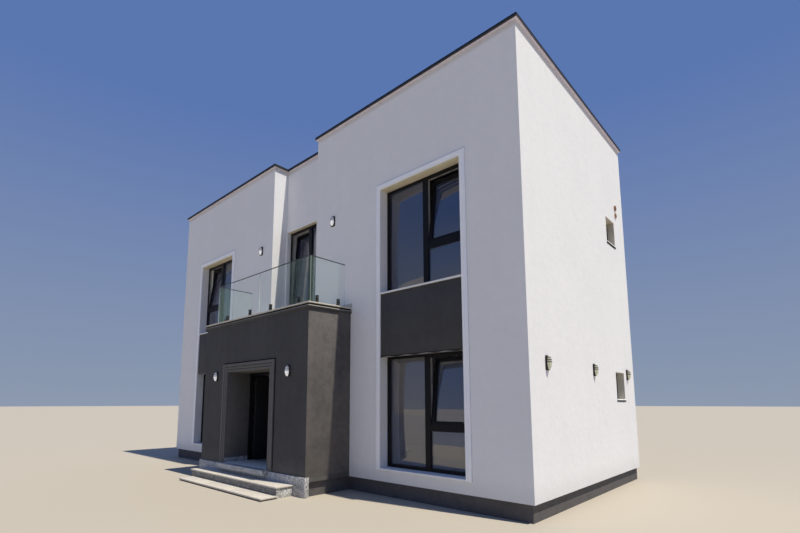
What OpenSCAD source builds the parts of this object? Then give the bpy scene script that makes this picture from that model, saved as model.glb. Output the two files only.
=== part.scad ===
// Detached two-storey house: two rendered blocks joined by a recessed middle,
// a dark entrance porch with a glass-railed balcony on it, and tall window bays.
// The front faces -Y. The origin is at the bottom centre of the bounding box.

/* [Plan] */
// Width of the block left of the middle
left_block_w = 5430; // [5000:10:6500]
// Width of the recessed middle between the two blocks
recess_w = 1900; // [1700:10:2100]
// Width of the block right of the middle
right_block_w = 5320; // [5000:10:6500]
// Depth of the house from the front of the blocks to the back
depth = 5680; // [5200:20:9000]
// How far the middle stands back from the blocks
recess_d = 440; // [380:10:700]
// Thickness of the outer walls
wall_t = 350; // [300:10:370]
// Thickness of the wall behind the balcony
middle_wall_t = 450; // [400:10:550]

/* [Storeys] */
// Level of the ground floor
ground_floor_z = 400; // [370:5:450]
// Level of the upper floor, and of the balcony at its door
upper_floor_z = 3870; // [3750:10:3990]
// Thickness of the upper floor
floor_t = 250; // [200:10:300]
// Level of the roof deck behind the parapets
roof_deck_z = 7500; // [7200:20:7700]
// Thickness of the roof deck
roof_t = 350; // [250:10:450]
// Height of the house to the top of the coping
coping_top_z = 8390; // [8100:10:8700]

/* [Plinth and coping] */
// Height of the plinth
plinth_h = 280; // [200:5:300]
// How far the plinth stands back under the render
plinth_in = 55; // [20:5:90]
// Height of the coping's edge
coping_h = 80; // [60:5:140]
// How far the coping stands out from the walls
coping_out = 55; // [30:5:100]
// Thickness of the coping's metal cap
coping_sheet = 8; // [5:1:15]

/* [Window bays] */
// Width of a window bay between its reveals
bay_w = 1980; // [1700:10:2200]
// Distance of the right bay from the right corner
right_bay_in = 1180; // [1000:10:1500]
// Distance of the left bay from the left corner
left_bay_in = 1310; // [1000:10:1500]
// Level of the lower window's sill
lower_sill_z = 530; // [500:10:800]
// Level of the lower window's head
lower_head_z = 2720; // [2500:10:2900]
// Level of the upper window's sill
upper_sill_z = 4040; // [3950:10:4400]
// Level of the upper window's head
upper_head_z = 6280; // [5900:10:6500]
// Width of the raised trim round a bay
trim_w = 110; // [60:5:150]
// How far the trim stands out from the wall
trim_t = 30; // [18:1:50]
// Distance of the trim's groove from the reveal
trim_groove_in = 46; // [30:1:60]
// Width of the trim's groove
trim_groove_w = 14; // [8:1:16]
// Depth of the trim's groove
trim_groove_d = 10; // [5:1:14]
// How far the dark spandrel panel is let into the wall
spandrel_t = 25; // [15:1:40]
// Thickness of a window sill
sill_t = 30; // [20:1:50]
// How far a sill stands out from the wall
sill_out = 35; // [32:1:60]

/* [Windows] */
// How far a window frame stands back in its reveal
frame_set = 200; // [100:5:220]
// Depth of a window frame
frame_d = 80; // [70:1:90]
// Face width of a window frame
frame_w = 65; // [50:1:90]
// Face width of the mullion
mullion_w = 120; // [80:1:150]
// How far the mullion stands off the middle, towards the sash
mullion_off = 35; // [0:5:80]
// Height of the transom's middle over the sill
transom_up = 795; // [600:5:1000]
// Face width of the transom
transom_w = 90; // [70:1:120]
// Face width of a sash
sash_w = 75; // [60:1:90]
// Depth of a sash
sash_d = 70; // [60:1:76]
// Gap between a sash and its frame
sash_gap = 4; // [3:0.5:6]
// Face width of the head over a fixed pane, partly under the reveal
head_w = 42; // [36:1:65]
// How far a frame's outer stop laps in over the sash's opening
stop_w = 12; // [7:1:20]
// How far the front sashes are tilted in
sash_tilt = 7; // [0:0.5:9]
// Thickness of the glazing
pane_t = 24; // [20:1:36]
// How deep the glazing sits in its groove
pane_lap = 15; // [8:1:20]

/* [Side windows] */
// Width and height of a side window
side_window = 600; // [500:10:800]
// Distance of the side windows from the back corner
side_window_in = 785; // [600:5:1200]
// Level of the lower side window's sill
side_lower_z = 1880; // [1600:10:2200]
// Level of the upper side window's sill
side_upper_z = 5530; // [5200:10:5800]
// How far a side window's frame stands back
side_set = 150; // [100:5:220]
// Height of a side window's sill
side_sill_t = 55; // [40:1:80]
// Diameter of the upper vent
upper_vent_dia = 140; // [100:5:180]
// Diameter of the lower vent
lower_vent_dia = 120; // [100:5:160]
// Level of the upper vent
upper_vent_z = 6565; // [6400:5:6800]
// Distance between the two vents' levels
vent_pitch = 190; // [180:5:240]
// Distance of the vents from the back corner
vent_in = 610; // [500:10:800]
// How far a vent stands out
vent_t = 22; // [14:1:40]
// Thickness of a vent's rim, back plate and slats
vent_skin = 6; // [4:1:7]
// Number of slats in a vent
vent_slats = 3; // [2:1:4]

/* [Porch] */
// Width of the porch
porch_w = 4335; // [4200:5:4700]
// Distance of the porch's middle right of the house's middle
porch_x = 94; // [60:1:130]
// How far the porch stands out from the blocks
porch_d = 1140; // [1100:10:1600]
// Thickness of the porch walls
porch_wall_t = 250; // [200:5:300]
// Width of the doorway
doorway_w = 1840; // [1750:5:1880]
// Distance of the doorway's middle right of the house's middle
doorway_x = 20; // [10:1:60]
// Level of the doorway's head
doorway_head_z = 2540; // [2450:5:2700]
// Depth of the doorway's reveal in front of the door frame
reveal_d = 615; // [500:5:700]
// Width of the moulded surround
surround_w = 190; // [150:5:240]
// How far the surround's outermost band stands out
surround_t = 30; // [21:3:45]
// Number of the surround's bands, each further out than the last
surround_bands = 3; // [2:1:4]
// Height of the granite base round the porch front
granite_top_z = 375; // [340:5:390]
// Thickness of the granite base
granite_t = 30; // [20:1:40]
// How far the granite base returns along the porch sides
granite_return = 70; // [40:5:120]
// Height of the granite skirting in the reveal
skirting_h = 100; // [60:5:140]
// Thickness of the granite skirting
skirting_t = 12; // [8:1:20]

/* [Balcony slab] */
// How much the balcony falls from its door to its front edge
balcony_fall = 50; // [0:5:60]
// Thickness of the balcony slab with its paving
slab_t = 184; // [160:2:220]
// Thickness of the pale paving on the slab
paving_t = 32; // [20:1:40]
// How far the paving's nose stands out from the porch
paving_out = 47; // [36:1:60]
// Narrow joint between the slab and the paving that lies on it
slab_joint = 0.3; // [0.2:0.1:0.8]
// Height of the fascia under the paving
fascia_h = 56; // [40:1:64]
// How far the fascia stands out
fascia_out = 42; // [36:1:46]
// Height of the bed moulding under the fascia
bed_h = 46; // [20:1:50]
// How far the bed moulding stands out
bed_out = 14; // [6:1:20]

/* [Steps] */
// Thickness of the threshold stone
threshold_t = 112; // [80:2:130]
// How far the threshold stone stands out from the porch
threshold_out = 148; // [100:2:180]
// How far the threshold's nose runs past the doorway on each side
threshold_ear = 60; // [30:2:120]
// Level of the upper step
upper_step_z = 213; // [180:1:230]
// How far the upper step stands out from the porch
upper_step_out = 428; // [350:2:500]
// Width of the upper step
upper_step_w = 3605; // [3400:5:3700]
// Distance of the upper step's middle right of the house's middle
upper_step_x = 122; // [80:1:160]
// Thickness of the upper step's tread
tread_t = 30; // [20:1:40]
// How far the tread's nosing stands out
nosing = 20; // [10:1:35]
// Level of the lower step
lower_step_z = 56; // [40:1:90]
// How far the lower step stands out from the porch
lower_step_out = 764; // [700:2:850]
// Width of the lower step
lower_step_w = 3505; // [3300:5:3650]
// Distance of the lower step's middle right of the house's middle
lower_step_x = 203; // [100:1:220]

/* [Entrance door] */
// Depth of the door frame
door_frame_d = 80; // [70:1:100]
// Face width of the door frame
door_frame_w = 70; // [60:1:90]
// Width of the door leaf
leaf_w = 1000; // [900:5:1100]
// Thickness of the door leaf
leaf_t = 70; // [56:1:76]
// Gap between the leaf and its frame
leaf_gap = 7; // [6:0.5:10]
// How far the leaf stands open, in degrees
leaf_open = 90; // [0:1:90]
// Radius of a hinge's barrel
hinge_r = 9; // [7:0.5:12]
// Length of one hinge with both knuckles
hinge_l = 120; // [80:2:160]
// Thickness of a hinge's flap
flap_t = 3; // [2:0.5:4]
// Width of a hinge's flap from its barrel's middle
flap_w = 38; // [25:1:50]
// Distance of the outer hinges' middles from the leaf's top and foot
hinge_in = 220; // [150:5:300]
// Running gap between two knuckles
knuckle_gap = 0.3; // [0.2:0.1:0.6]
// Height of the lever handle over the floor
handle_up = 1050; // [950:10:1100]
// How far the lever stands off the leaf
handle_out = 48; // [40:1:52]
// Distance of the lever's spindle from the leaf's edge
handle_in = 70; // [50:1:90]
// Diameter of the rose behind the lever
rose_dia = 52; // [40:1:60]
// Thickness of the rose
rose_t = 8; // [5:1:12]
// Diameter of the lever
lever_dia = 20; // [16:1:24]
// Length of the lever
lever_l = 130; // [100:5:150]

/* [Balcony door] */
// Width of the balcony door's opening
balcony_door_w = 1800; // [1600:10:1800]
// Level of the balcony door's head
balcony_head_z = 6510; // [6300:10:6700]
// How far the balcony door's frame stands back
balcony_set = 110; // [80:5:370]
// Face width of the balcony door's mullion
balcony_mullion_w = 110; // [80:1:140]
// How far the balcony door's leaf is tilted in
balcony_tilt = 3.5; // [0:0.5:5]

/* [Balustrade] */
// Level of the balustrade's top over the balcony's front edge
rail_up = 985; // [900:5:1100]
// Thickness of the balustrade's glass
rail_glass_t = 16; // [12:1:22]
// Gap between the glass and the balcony's paving
rail_under = 22; // [10:1:60]
// Distance of the front glass from the porch's front
rail_in = 37; // [20:1:90]
// Distance of the right return from the porch's right side
rail_right_in = 23; // [15:1:90]
// Distance of the left return from the porch's left side
rail_left_in = 470; // [20:5:600]
// Distance of the returns' ends from the blocks
rail_wall_gap = 157; // [60:1:200]
// Distance of the joint in the front glass from the right return
rail_joint_in = 1900; // [1600:10:2200]
// Gap between two sheets of glass
rail_joint = 10; // [6:1:20]
// Width of a glass clamp
clamp_w = 50; // [40:1:70]
// Depth of a glass clamp
clamp_d = 56; // [46:1:70]
// Height of a glass clamp
clamp_h = 160; // [120:2:190]
// Place of each front sheet's first clamp, as a share of the sheet
clamp_near = 0.25; // [0.1:0.01:0.4]
// Place of each sheet's last clamp, as a share of the sheet
clamp_far = 0.8; // [0.6:0.01:0.9]
// Place of each side sheet's first clamp, as a share of the sheet
side_clamp_near = 0.18; // [0.1:0.01:0.4]
// Height of the cap on the glass
cap_h = 15; // [10:1:25]
// Width of the cap on the glass
cap_w = 24; // [23:1:34]

/* [Wall lamps] */
// Height of a lamp's back plate
lamp_h = 250; // [220:2:280]
// Width of a lamp's back plate
lamp_w = 130; // [120:2:150]
// Thickness of a lamp's back plate
lamp_t = 30; // [20:1:40]
// Width of the lower rim round a lamp's back plate
lamp_rim_w = 8; // [4:1:12]
// Thickness of that lower rim
lamp_rim_t = 16; // [8:1:19]
// Number of ribs across a globe, from its middle upwards
lamp_ribs_n = 3; // [2:1:3]
// Distance between the ribs
rib_pitch = 38; // [30:1:40]
// Level of the lowest rib over the globe's middle
rib_up = 8; // [0:1:10]
// Height of a rib
rib_h = 7; // [5:1:9]
// How far a rib stands out from the globe
rib_out = 5; // [3:1:6]
// Radius of a lamp's globe
globe_r = 52; // [46:1:56]
// Level of the lower lamps
lower_lamp_z = 2450; // [2300:10:2600]
// Level of the upper lamps
upper_lamp_z = 6015; // [5800:10:6200]
// Distance of the front lamps from the porch's middle
front_lamp_off = 1535; // [1450:5:1600]
// Distance of the first side lamp from the front corner
side_lamp_in = 655; // [500:5:800]
// Distance between the lamps along the sides
side_lamp_pitch = 2245; // [2000:5:2250]

/* [Hidden] */
$fn = 48;

// What runs past a face so that a cut goes right through
past = 5;

house_w = left_block_w + recess_w + right_block_w;
left_x = -house_w / 2;
right_x = house_w / 2;
recess_left_x = left_x + left_block_w;
recess_right_x = right_x - right_block_w;
front_y = (lower_step_out + porch_d - depth - coping_out) / 2;
back_y = front_y + depth;
recess_y = front_y + recess_d;
inner_front_y = front_y + wall_t;
inner_back_y = back_y - wall_t;
middle_back_y = recess_y + middle_wall_t;
wall_top_z = coping_top_z - coping_h;

right_bay_x = right_x - right_bay_in - bay_w / 2;
left_bay_x = left_x + left_bay_in + bay_w / 2;

porch_left_x = porch_x - porch_w / 2;
porch_right_x = porch_x + porch_w / 2;
porch_y = front_y - porch_d;
doorway_left_x = doorway_x - doorway_w / 2;
doorway_right_x = doorway_x + doorway_w / 2;
balcony_edge_z = upper_floor_z - balcony_fall;
slab_under_z = balcony_edge_z - slab_t;
slab_top_under = paving_t + slab_joint;
frame_y = porch_y + reveal_d;
jamb_end_y = frame_y + door_frame_d;
threshold_under_z = ground_floor_z - threshold_t;

recess_mid_x = (recess_left_x + recess_right_x) / 2;
balcony_frame_y = recess_y + balcony_set;

leaf_x = doorway_left_x + door_frame_w + leaf_gap;
leaf_end_x = leaf_x + leaf_w;
leaf_y = jamb_end_y - leaf_t;
leaf_foot_z = ground_floor_z + leaf_gap;
leaf_top_z = doorway_head_z - door_frame_w - leaf_gap;
strike_x = leaf_end_x + leaf_gap;
hinge_x = leaf_x - leaf_gap / 2;
hinge_y = jamb_end_y + hinge_r;
hinge_levels = [leaf_foot_z + hinge_in, (leaf_foot_z + leaf_top_z) / 2, leaf_top_z - hinge_in];

rail_top_z = balcony_edge_z + rail_up;
glass_top_z = rail_top_z - cap_h / 2;
rail_y = porch_y + rail_in;
rail_right_x = porch_right_x - rail_right_in;
rail_left_x = porch_left_x + rail_left_in;
rail_joint_x = rail_right_x - rail_joint_in;

// A block between two corners
module block(x0, x1, y0, y1, z0, z1) {
    translate([x0, y0, z0]) cube([x1 - x0, y1 - y0, z1 - z0]);
}

// A rectangle between two corners
module rect(x0, x1, z0, z1) {
    translate([x0, z0]) square([x1 - x0, z1 - z0]);
}

// Stands a front elevation up, from y back to y + t
module upright(y, t) {
    translate([0, y + t, 0]) rotate([90, 0, 0]) linear_extrude(t) children();
}

// Stands a side elevation up, drawn with Y and Z, from x to x + t
module sideways(x, t) {
    translate([x, 0, 0]) rotate([90, 0, 90]) linear_extrude(t) children();
}

// Turns what belongs to the front round to the back
module at_back() {
    translate([0, front_y + back_y, 0]) mirror([0, 1, 0]) children();
}

// Both bays, right and left: the sash is on the side of the outer corner
module both_bays() {
    translate([right_bay_x, 0, 0]) children();
    translate([left_bay_x, 0, 0]) mirror([1, 0, 0]) children();
}

// Both ends of the house
module both_sides() {
    children();
    mirror([1, 0, 0]) children();
}

// Outline of the outer walls, moved out by a given way
module house_outline(out) {
    polygon([
        [left_x - out, front_y - out],
        [recess_left_x + out, front_y - out],
        [recess_left_x + out, recess_y - out],
        [recess_right_x - out, recess_y - out],
        [recess_right_x - out, front_y - out],
        [right_x + out, front_y - out],
        [right_x + out, back_y + out],
        [left_x - out, back_y + out]
    ]);
}

// Plan of the space inside the walls; the middle begins at middle_y
module inside_outline(middle_y) {
    difference() {
        union() {
            rect(left_x + wall_t, right_x - wall_t, inner_front_y, inner_back_y);
            rect(recess_left_x, recess_right_x, middle_y, inner_back_y);
        }
        rect(recess_left_x, recess_right_x, front_y - past, middle_y);
        rect(recess_left_x - wall_t, recess_left_x, front_y, middle_back_y);
        rect(recess_right_x, recess_right_x + wall_t, front_y, middle_back_y);
    }
}

// Front elevation of one bay's two window openings
module bay_openings() {
    rect(-bay_w / 2, bay_w / 2, lower_sill_z, lower_head_z);
    rect(-bay_w / 2, bay_w / 2, upper_sill_z, upper_head_z);
}

// A wall with its bay cut through and the spandrel's bed let in
module bay_wall(x0, x1, bay_x) {
    difference() {
        block(x0, x1, front_y, inner_front_y, plinth_h, wall_top_z);
        translate([bay_x, 0, 0]) {
            upright(front_y - past, wall_t + 2 * past) bay_openings();
            spandrel(past);
        }
    }
}

// The dark panel between a bay's two windows
module spandrel(ahead = 0) {
    block(-bay_w / 2, bay_w / 2, front_y - ahead, front_y + spandrel_t,
          lower_head_z, upper_sill_z);
}

// Frame with a through opening and a groove for its pane
module glazed_frame(x0, x1, z0, z1, w, y, d) {
    difference() {
        block(x0, x1, y, y + d, z0, z1);
        block(x0 + w, x1 - w, y - past, y + d + past, z0 + w, z1 - w);
        pane(x0, x1, z0, z1, w, y, d);
    }
}

// The pane of such a frame, in its groove
module pane(x0, x1, z0, z1, w, y, d) {
    in = w - pane_lap;
    block(x0 + in, x1 - in, y + (d - pane_t) / 2, y + (d + pane_t) / 2, z0 + in, z1 - in);
}

// Places of a bay window's lights, for a sill and a head level
light_left_x = -bay_w / 2 + frame_w;
light_right_x = bay_w / 2 - frame_w;
mullion_left_x = mullion_off - mullion_w / 2;
mullion_right_x = mullion_off + mullion_w / 2;

// One bay window's fixed frame with its mullion and transom
module window_frame(z0, z1) {
    y = front_y + frame_set;
    transom_z = z0 + transom_up;
    difference() {
        block(-bay_w / 2, bay_w / 2, y, y + frame_d, z0, z1);
        light_opening(light_left_x, mullion_left_x, z0 + frame_w, z1 - head_w, y);
        light_opening(mullion_right_x, light_right_x, z0 + frame_w,
                      transom_z - transom_w / 2, y);
        sash_opening(mullion_right_x, light_right_x, transom_z + transom_w / 2,
                     z1 - frame_w, y);
    }
}

// An opening for a sash, narrower in front where the frame's stop laps over the sash
module sash_opening(x0, x1, z0, z1, y) {
    block(x0, x1, y + frame_d - sash_d, y + frame_d + past, z0, z1);
    block(x0 + stop_w, x1 - stop_w, y - past, y + frame_d, z0 + stop_w, z1 - stop_w);
}

// An opening for a fixed pane, with its groove
module light_opening(x0, x1, z0, z1, y) {
    block(x0, x1, y - past, y + frame_d + past, z0, z1);
    light_pane(x0, x1, z0, z1, y);
}

// A fixed pane
module light_pane(x0, x1, z0, z1, y) {
    block(x0 - pane_lap, x1 + pane_lap, y + (frame_d - pane_t) / 2,
          y + (frame_d + pane_t) / 2, z0 - pane_lap, z1 + pane_lap);
}

// Tips what is drawn closed in at the top, about its lower inner edge
module tilted(angle, y, z) {
    translate([0, y, z]) rotate([-angle, 0, 0]) translate([0, -y, -z]) children();
}

// Places of a bay window's sash
module sash_place(z0, z1, angle) {
    y = front_y + frame_set + frame_d;
    tilted(angle, y, z0 + transom_up + transom_w / 2) children();
}

// One bay window's opening sash
module sash(z0, z1, angle) {
    sash_place(z0, z1, angle)
        glazed_frame(mullion_right_x + sash_gap, light_right_x - sash_gap,
                     z0 + transom_up + transom_w / 2, z1 - frame_w - sash_gap,
                     sash_w, front_y + frame_set + frame_d - sash_d, sash_d);
}

// The sash's pane
module sash_pane(z0, z1, angle) {
    sash_place(z0, z1, angle)
        pane(mullion_right_x + sash_gap, light_right_x - sash_gap,
             z0 + transom_up + transom_w / 2, z1 - frame_w - sash_gap,
             sash_w, front_y + frame_set + frame_d - sash_d, sash_d);
}

// One bay window's fixed panes
module fixed_panes(z0, z1) {
    y = front_y + frame_set;
    light_pane(light_left_x, mullion_left_x, z0 + frame_w, z1 - head_w, y);
    light_pane(mullion_right_x, light_right_x, z0 + frame_w,
               z0 + transom_up - transom_w / 2, y);
}

// Structure
module plinth() {
    color([0.24, 0.24, 0.26]) difference() {
        linear_extrude(plinth_h) union() {
            rect(left_x + plinth_in, right_x - plinth_in, front_y + plinth_in,
                 back_y - plinth_in);
            rect(porch_left_x + plinth_in, porch_right_x - plinth_in, porch_y,
                 front_y + plinth_in);
        }
        translate([0, 0, -past]) linear_extrude(plinth_h + 2 * past) ground_outline();
    }
}

// Plan of the ground floor, inside the walls of the house and the porch
module ground_outline() {
    difference() {
        union() {
            inside_outline(front_y);
            rect(porch_left_x + porch_wall_t, porch_right_x - porch_wall_t,
                 porch_y + porch_wall_t, front_y);
            rect(doorway_left_x, doorway_right_x, porch_y, front_y);
        }
        rect(doorway_left_x - porch_wall_t, doorway_left_x, porch_y, jamb_end_y);
        rect(doorway_right_x, doorway_right_x + porch_wall_t, porch_y, jamb_end_y);
    }
}

module ground_floor() {
    color([0.6, 0.62, 0.64]) difference() {
        linear_extrude(ground_floor_z) ground_outline();
        block(doorway_left_x, doorway_right_x, porch_y - past, jamb_end_y,
              threshold_under_z, ground_floor_z + past);
    }
}

module right_front_wall() {
    color([0.92, 0.9, 0.88]) bay_wall(recess_right_x, right_x, right_bay_x);
}

module left_front_wall() {
    color([0.92, 0.9, 0.88]) bay_wall(left_x, recess_left_x, left_bay_x);
}

module right_return_wall() {
    color([0.92, 0.9, 0.88])
        block(recess_right_x, recess_right_x + wall_t, inner_front_y, middle_back_y,
              plinth_h, wall_top_z);
}

module left_return_wall() {
    color([0.92, 0.9, 0.88])
        block(recess_left_x - wall_t, recess_left_x, inner_front_y, middle_back_y,
              plinth_h, wall_top_z);
}

module middle_wall() {
    color([0.92, 0.9, 0.88]) upright(recess_y, middle_wall_t) difference() {
        rect(recess_left_x, recess_right_x, upper_floor_z, wall_top_z);
        rect(recess_mid_x - balcony_door_w / 2, recess_mid_x + balcony_door_w / 2,
             upper_floor_z - past, balcony_head_z);
    }
}

// Side elevation of the side windows' openings
module side_openings() {
    for (z = [side_lower_z, side_upper_z])
        rect(back_y - side_window_in - side_window, back_y - side_window_in,
             z, z + side_window);
}

module side_wall() {
    sideways(right_x - wall_t, wall_t) difference() {
        rect(inner_front_y, inner_back_y, plinth_h, wall_top_z);
        side_openings();
    }
}

module right_side_wall() {
    color([0.95, 0.93, 0.9]) side_wall();
}

module left_side_wall() {
    color([0.92, 0.9, 0.88]) mirror([1, 0, 0]) side_wall();
}

module back_wall() {
    color([0.92, 0.9, 0.88]) at_back() difference() {
        block(left_x, right_x, front_y, inner_front_y, plinth_h, wall_top_z);
        both_bays() {
            upright(front_y - past, wall_t + 2 * past) bay_openings();
            spandrel(past);
        }
    }
}

module upper_floor() {
    color([0.7, 0.68, 0.65])
        translate([0, 0, upper_floor_z - floor_t]) linear_extrude(floor_t)
            inside_outline(recess_y);
}

module roof_deck() {
    color([0.55, 0.55, 0.55])
        translate([0, 0, roof_deck_z - roof_t]) linear_extrude(roof_t)
            inside_outline(middle_back_y);
}

// Plan of the parapets, widened on both faces
module coping_outline(out) {
    difference() {
        house_outline(out);
        offset(delta = -out) inside_outline(middle_back_y);
    }
}

module coping_board() {
    color([0.85, 0.82, 0.75])
        translate([0, 0, wall_top_z]) linear_extrude(coping_h - coping_sheet)
            coping_outline(coping_out - coping_sheet);
}

module coping_cap() {
    color([0.1, 0.12, 0.14]) difference() {
        translate([0, 0, wall_top_z]) linear_extrude(coping_h) coping_outline(coping_out);
        translate([0, 0, wall_top_z - past]) linear_extrude(coping_h - coping_sheet + past)
            coping_outline(coping_out - coping_sheet);
    }
}

// Porch
module porch_right_front() {
    color([0.2, 0.2, 0.22]) translate([0, 0, plinth_h])
        linear_extrude(slab_under_z - plinth_h) union() {
            rect(doorway_right_x, porch_right_x, porch_y, porch_y + porch_wall_t);
            rect(doorway_right_x, doorway_right_x + porch_wall_t, porch_y, jamb_end_y);
        }
}

module porch_left_front() {
    color([0.2, 0.2, 0.22]) translate([0, 0, plinth_h])
        linear_extrude(slab_under_z - plinth_h) union() {
            rect(porch_left_x, doorway_left_x, porch_y, porch_y + porch_wall_t);
            rect(doorway_left_x - porch_wall_t, doorway_left_x, porch_y, jamb_end_y);
        }
}

module porch_right_side() {
    color([0.2, 0.2, 0.22])
        block(porch_right_x - porch_wall_t, porch_right_x, porch_y + porch_wall_t, front_y,
              plinth_h, slab_under_z);
}

module porch_left_side() {
    color([0.2, 0.2, 0.22])
        block(porch_left_x, porch_left_x + porch_wall_t, porch_y + porch_wall_t, front_y,
              plinth_h, slab_under_z);
}

module porch_lintel() {
    color([0.2, 0.2, 0.22]) {
        block(doorway_left_x, doorway_right_x, porch_y, porch_y + porch_wall_t,
              doorway_head_z, slab_under_z);
        block(doorway_left_x, doorway_right_x, porch_y, jamb_end_y,
              doorway_head_z, doorway_head_z + porch_wall_t);
    }
}

// Level of the balcony's paving at a given place between the door and the front edge
function paving_z(y) =
    upper_floor_z - balcony_fall * (recess_y - y) / (recess_y - porch_y + paving_out);

// A layer that follows the balcony's fall, between two depths under the paving's top
module layer(x0, x1, y0, y1, under0, under1) {
    sideways(x0, x1 - x0) polygon([
        [y0, paving_z(y0) - under1], [y1, paving_z(y1) - under1],
        [y1, paving_z(y1) - under0], [y0, paving_z(y0) - under0]
    ]);
}

// One course of the slab's edge, a given way out from the porch
module slab_course(out, under0, under1) {
    layer(porch_left_x - out, porch_right_x + out, porch_y - out, front_y, under0, under1);
}

// The slab's body with its level underside
module slab_body(x0, x1, y0, y1) {
    sideways(x0, x1 - x0) polygon([
        [y0, slab_under_z], [y1, slab_under_z],
        [y1, paving_z(y1) - slab_top_under], [y0, paving_z(y0) - slab_top_under]
    ]);
}

module balcony_slab() {
    fascia_foot = slab_top_under + fascia_h;
    color([0.25, 0.25, 0.27]) {
        slab_body(porch_left_x, porch_right_x, porch_y, front_y);
        slab_body(recess_left_x, recess_right_x, front_y - past, recess_y);
        slab_course(bed_out, slab_top_under, fascia_foot + bed_h);
        slab_course(fascia_out, slab_top_under, fascia_foot);
    }
}

module balcony_paving() {
    color([0.85, 0.84, 0.82]) {
        slab_course(paving_out, 0, paving_t);
        layer(recess_left_x, recess_right_x, front_y - past, recess_y, 0, paving_t);
    }
}

module granite_base() {
    color([0.5, 0.5, 0.5]) difference() {
        block(porch_left_x - granite_t, porch_right_x + granite_t, porch_y - granite_t,
              porch_y + granite_return, 0, granite_top_z);
        block(porch_left_x, porch_right_x, porch_y, porch_y + granite_return + past,
              -past, granite_top_z + past);
        block(doorway_left_x - threshold_ear, doorway_right_x + threshold_ear,
              porch_y - granite_t - past, porch_y + past,
              threshold_under_z, granite_top_z + past);
    }
}

// Elevation of the surround's bands: all that lies within a given reach of the doorway
module surround_band(reach) {
    difference() {
        rect(doorway_left_x - reach, doorway_right_x + reach, ground_floor_z,
             doorway_head_z + reach);
        rect(doorway_left_x, doorway_right_x, ground_floor_z - past, doorway_head_z);
    }
}

module entrance_surround() {
    color([0.22, 0.22, 0.24]) for (i = [1:surround_bands]) {
        out = surround_t * i / surround_bands;
        upright(porch_y - out, out) difference() {
            surround_band(surround_w);
            surround_band(surround_w * (i - 1) / surround_bands);
        }
    }
}

module reveal_skirting() {
    color([0.55, 0.55, 0.55]) {
        block(doorway_left_x, doorway_left_x + skirting_t, porch_y, frame_y,
              ground_floor_z, ground_floor_z + skirting_h);
        block(doorway_right_x - skirting_t, doorway_right_x, porch_y, frame_y,
              ground_floor_z, ground_floor_z + skirting_h);
    }
}

module threshold() {
    color([0.6, 0.6, 0.6]) {
        block(doorway_left_x, doorway_right_x, porch_y - past, jamb_end_y,
              threshold_under_z, ground_floor_z);
        block(doorway_left_x - threshold_ear, doorway_right_x + threshold_ear,
              porch_y - threshold_out, porch_y, threshold_under_z, ground_floor_z);
    }
}

module upper_step() {
    color([0.45, 0.45, 0.45])
        block(upper_step_x - upper_step_w / 2, upper_step_x + upper_step_w / 2,
              porch_y - upper_step_out + nosing, porch_y - granite_t,
              0, upper_step_z - tread_t);
}

module upper_tread() {
    color([0.88, 0.85, 0.8])
        block(upper_step_x - upper_step_w / 2 - nosing, upper_step_x + upper_step_w / 2 + nosing,
              porch_y - upper_step_out, porch_y - granite_t,
              upper_step_z - tread_t, upper_step_z);
}

module lower_step() {
    color([0.88, 0.85, 0.8])
        block(lower_step_x - lower_step_w / 2, lower_step_x + lower_step_w / 2,
              porch_y - lower_step_out, porch_y - upper_step_out + nosing,
              0, lower_step_z);
}

// Entrance door
module door_frame() {
    color([0.12, 0.12, 0.14]) upright(frame_y, door_frame_d) difference() {
        rect(doorway_left_x, doorway_right_x, ground_floor_z, doorway_head_z);
        rect(doorway_left_x + door_frame_w, strike_x, ground_floor_z - past,
             doorway_head_z - door_frame_w);
        rect(strike_x + door_frame_w, doorway_right_x - door_frame_w,
             ground_floor_z + door_frame_w, doorway_head_z - door_frame_w);
    }
}

module side_light() {
    color([0.3, 0.35, 0.4, 0.5])
        block(strike_x + door_frame_w, doorway_right_x - door_frame_w,
              frame_y + (door_frame_d - pane_t) / 2, frame_y + (door_frame_d + pane_t) / 2,
              ground_floor_z + door_frame_w, doorway_head_z - door_frame_w);
}

// Swings what is drawn closed to where the leaf stands open
module swung() {
    translate([hinge_x, hinge_y, 0]) rotate([0, 0, leaf_open])
        translate([-hinge_x, -hinge_y, 0]) children();
}

module door_leaf() {
    color([0.13, 0.13, 0.15]) swung()
        block(leaf_x, leaf_end_x, leaf_y, jamb_end_y, leaf_foot_z, leaf_top_z);
}

// A rose and a lever on one face of the leaf, pointing from the spindle to the hinges
module lever() {
    lever_r = lever_dia / 2;
    rotate([-90, 0, 0]) {
        cylinder(h = rose_t, d = rose_dia);
        cylinder(h = handle_out - lever_r, r = lever_r);
    }
    translate([lever_r, handle_out - lever_r, 0]) rotate([0, -90, 0])
        cylinder(h = lever_l, r = lever_r);
}

module door_handle() {
    color([0.75, 0.75, 0.75]) swung()
        translate([leaf_end_x - handle_in, leaf_y + leaf_t / 2, ground_floor_z + handle_up])
            for (side = [0, 1]) mirror([0, side, 0]) translate([0, leaf_t / 2, 0]) lever();
}

// One knuckle of each hinge with its flap, which runs to the given side
module knuckles(side, z0, z1) {
    for (z = hinge_levels) {
        translate([hinge_x, hinge_y, z + z0]) cylinder(h = z1 - z0, r = hinge_r);
        block(min(hinge_x, hinge_x + side * flap_w), max(hinge_x, hinge_x + side * flap_w),
              jamb_end_y, jamb_end_y + flap_t, z + z0, z + z1);
    }
}

module frame_hinges() {
    color([0.5, 0.5, 0.5]) knuckles(-1, -hinge_l / 2, -knuckle_gap / 2);
}

module leaf_hinges() {
    color([0.5, 0.5, 0.5]) swung() knuckles(1, knuckle_gap / 2, hinge_l / 2);
}

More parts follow.
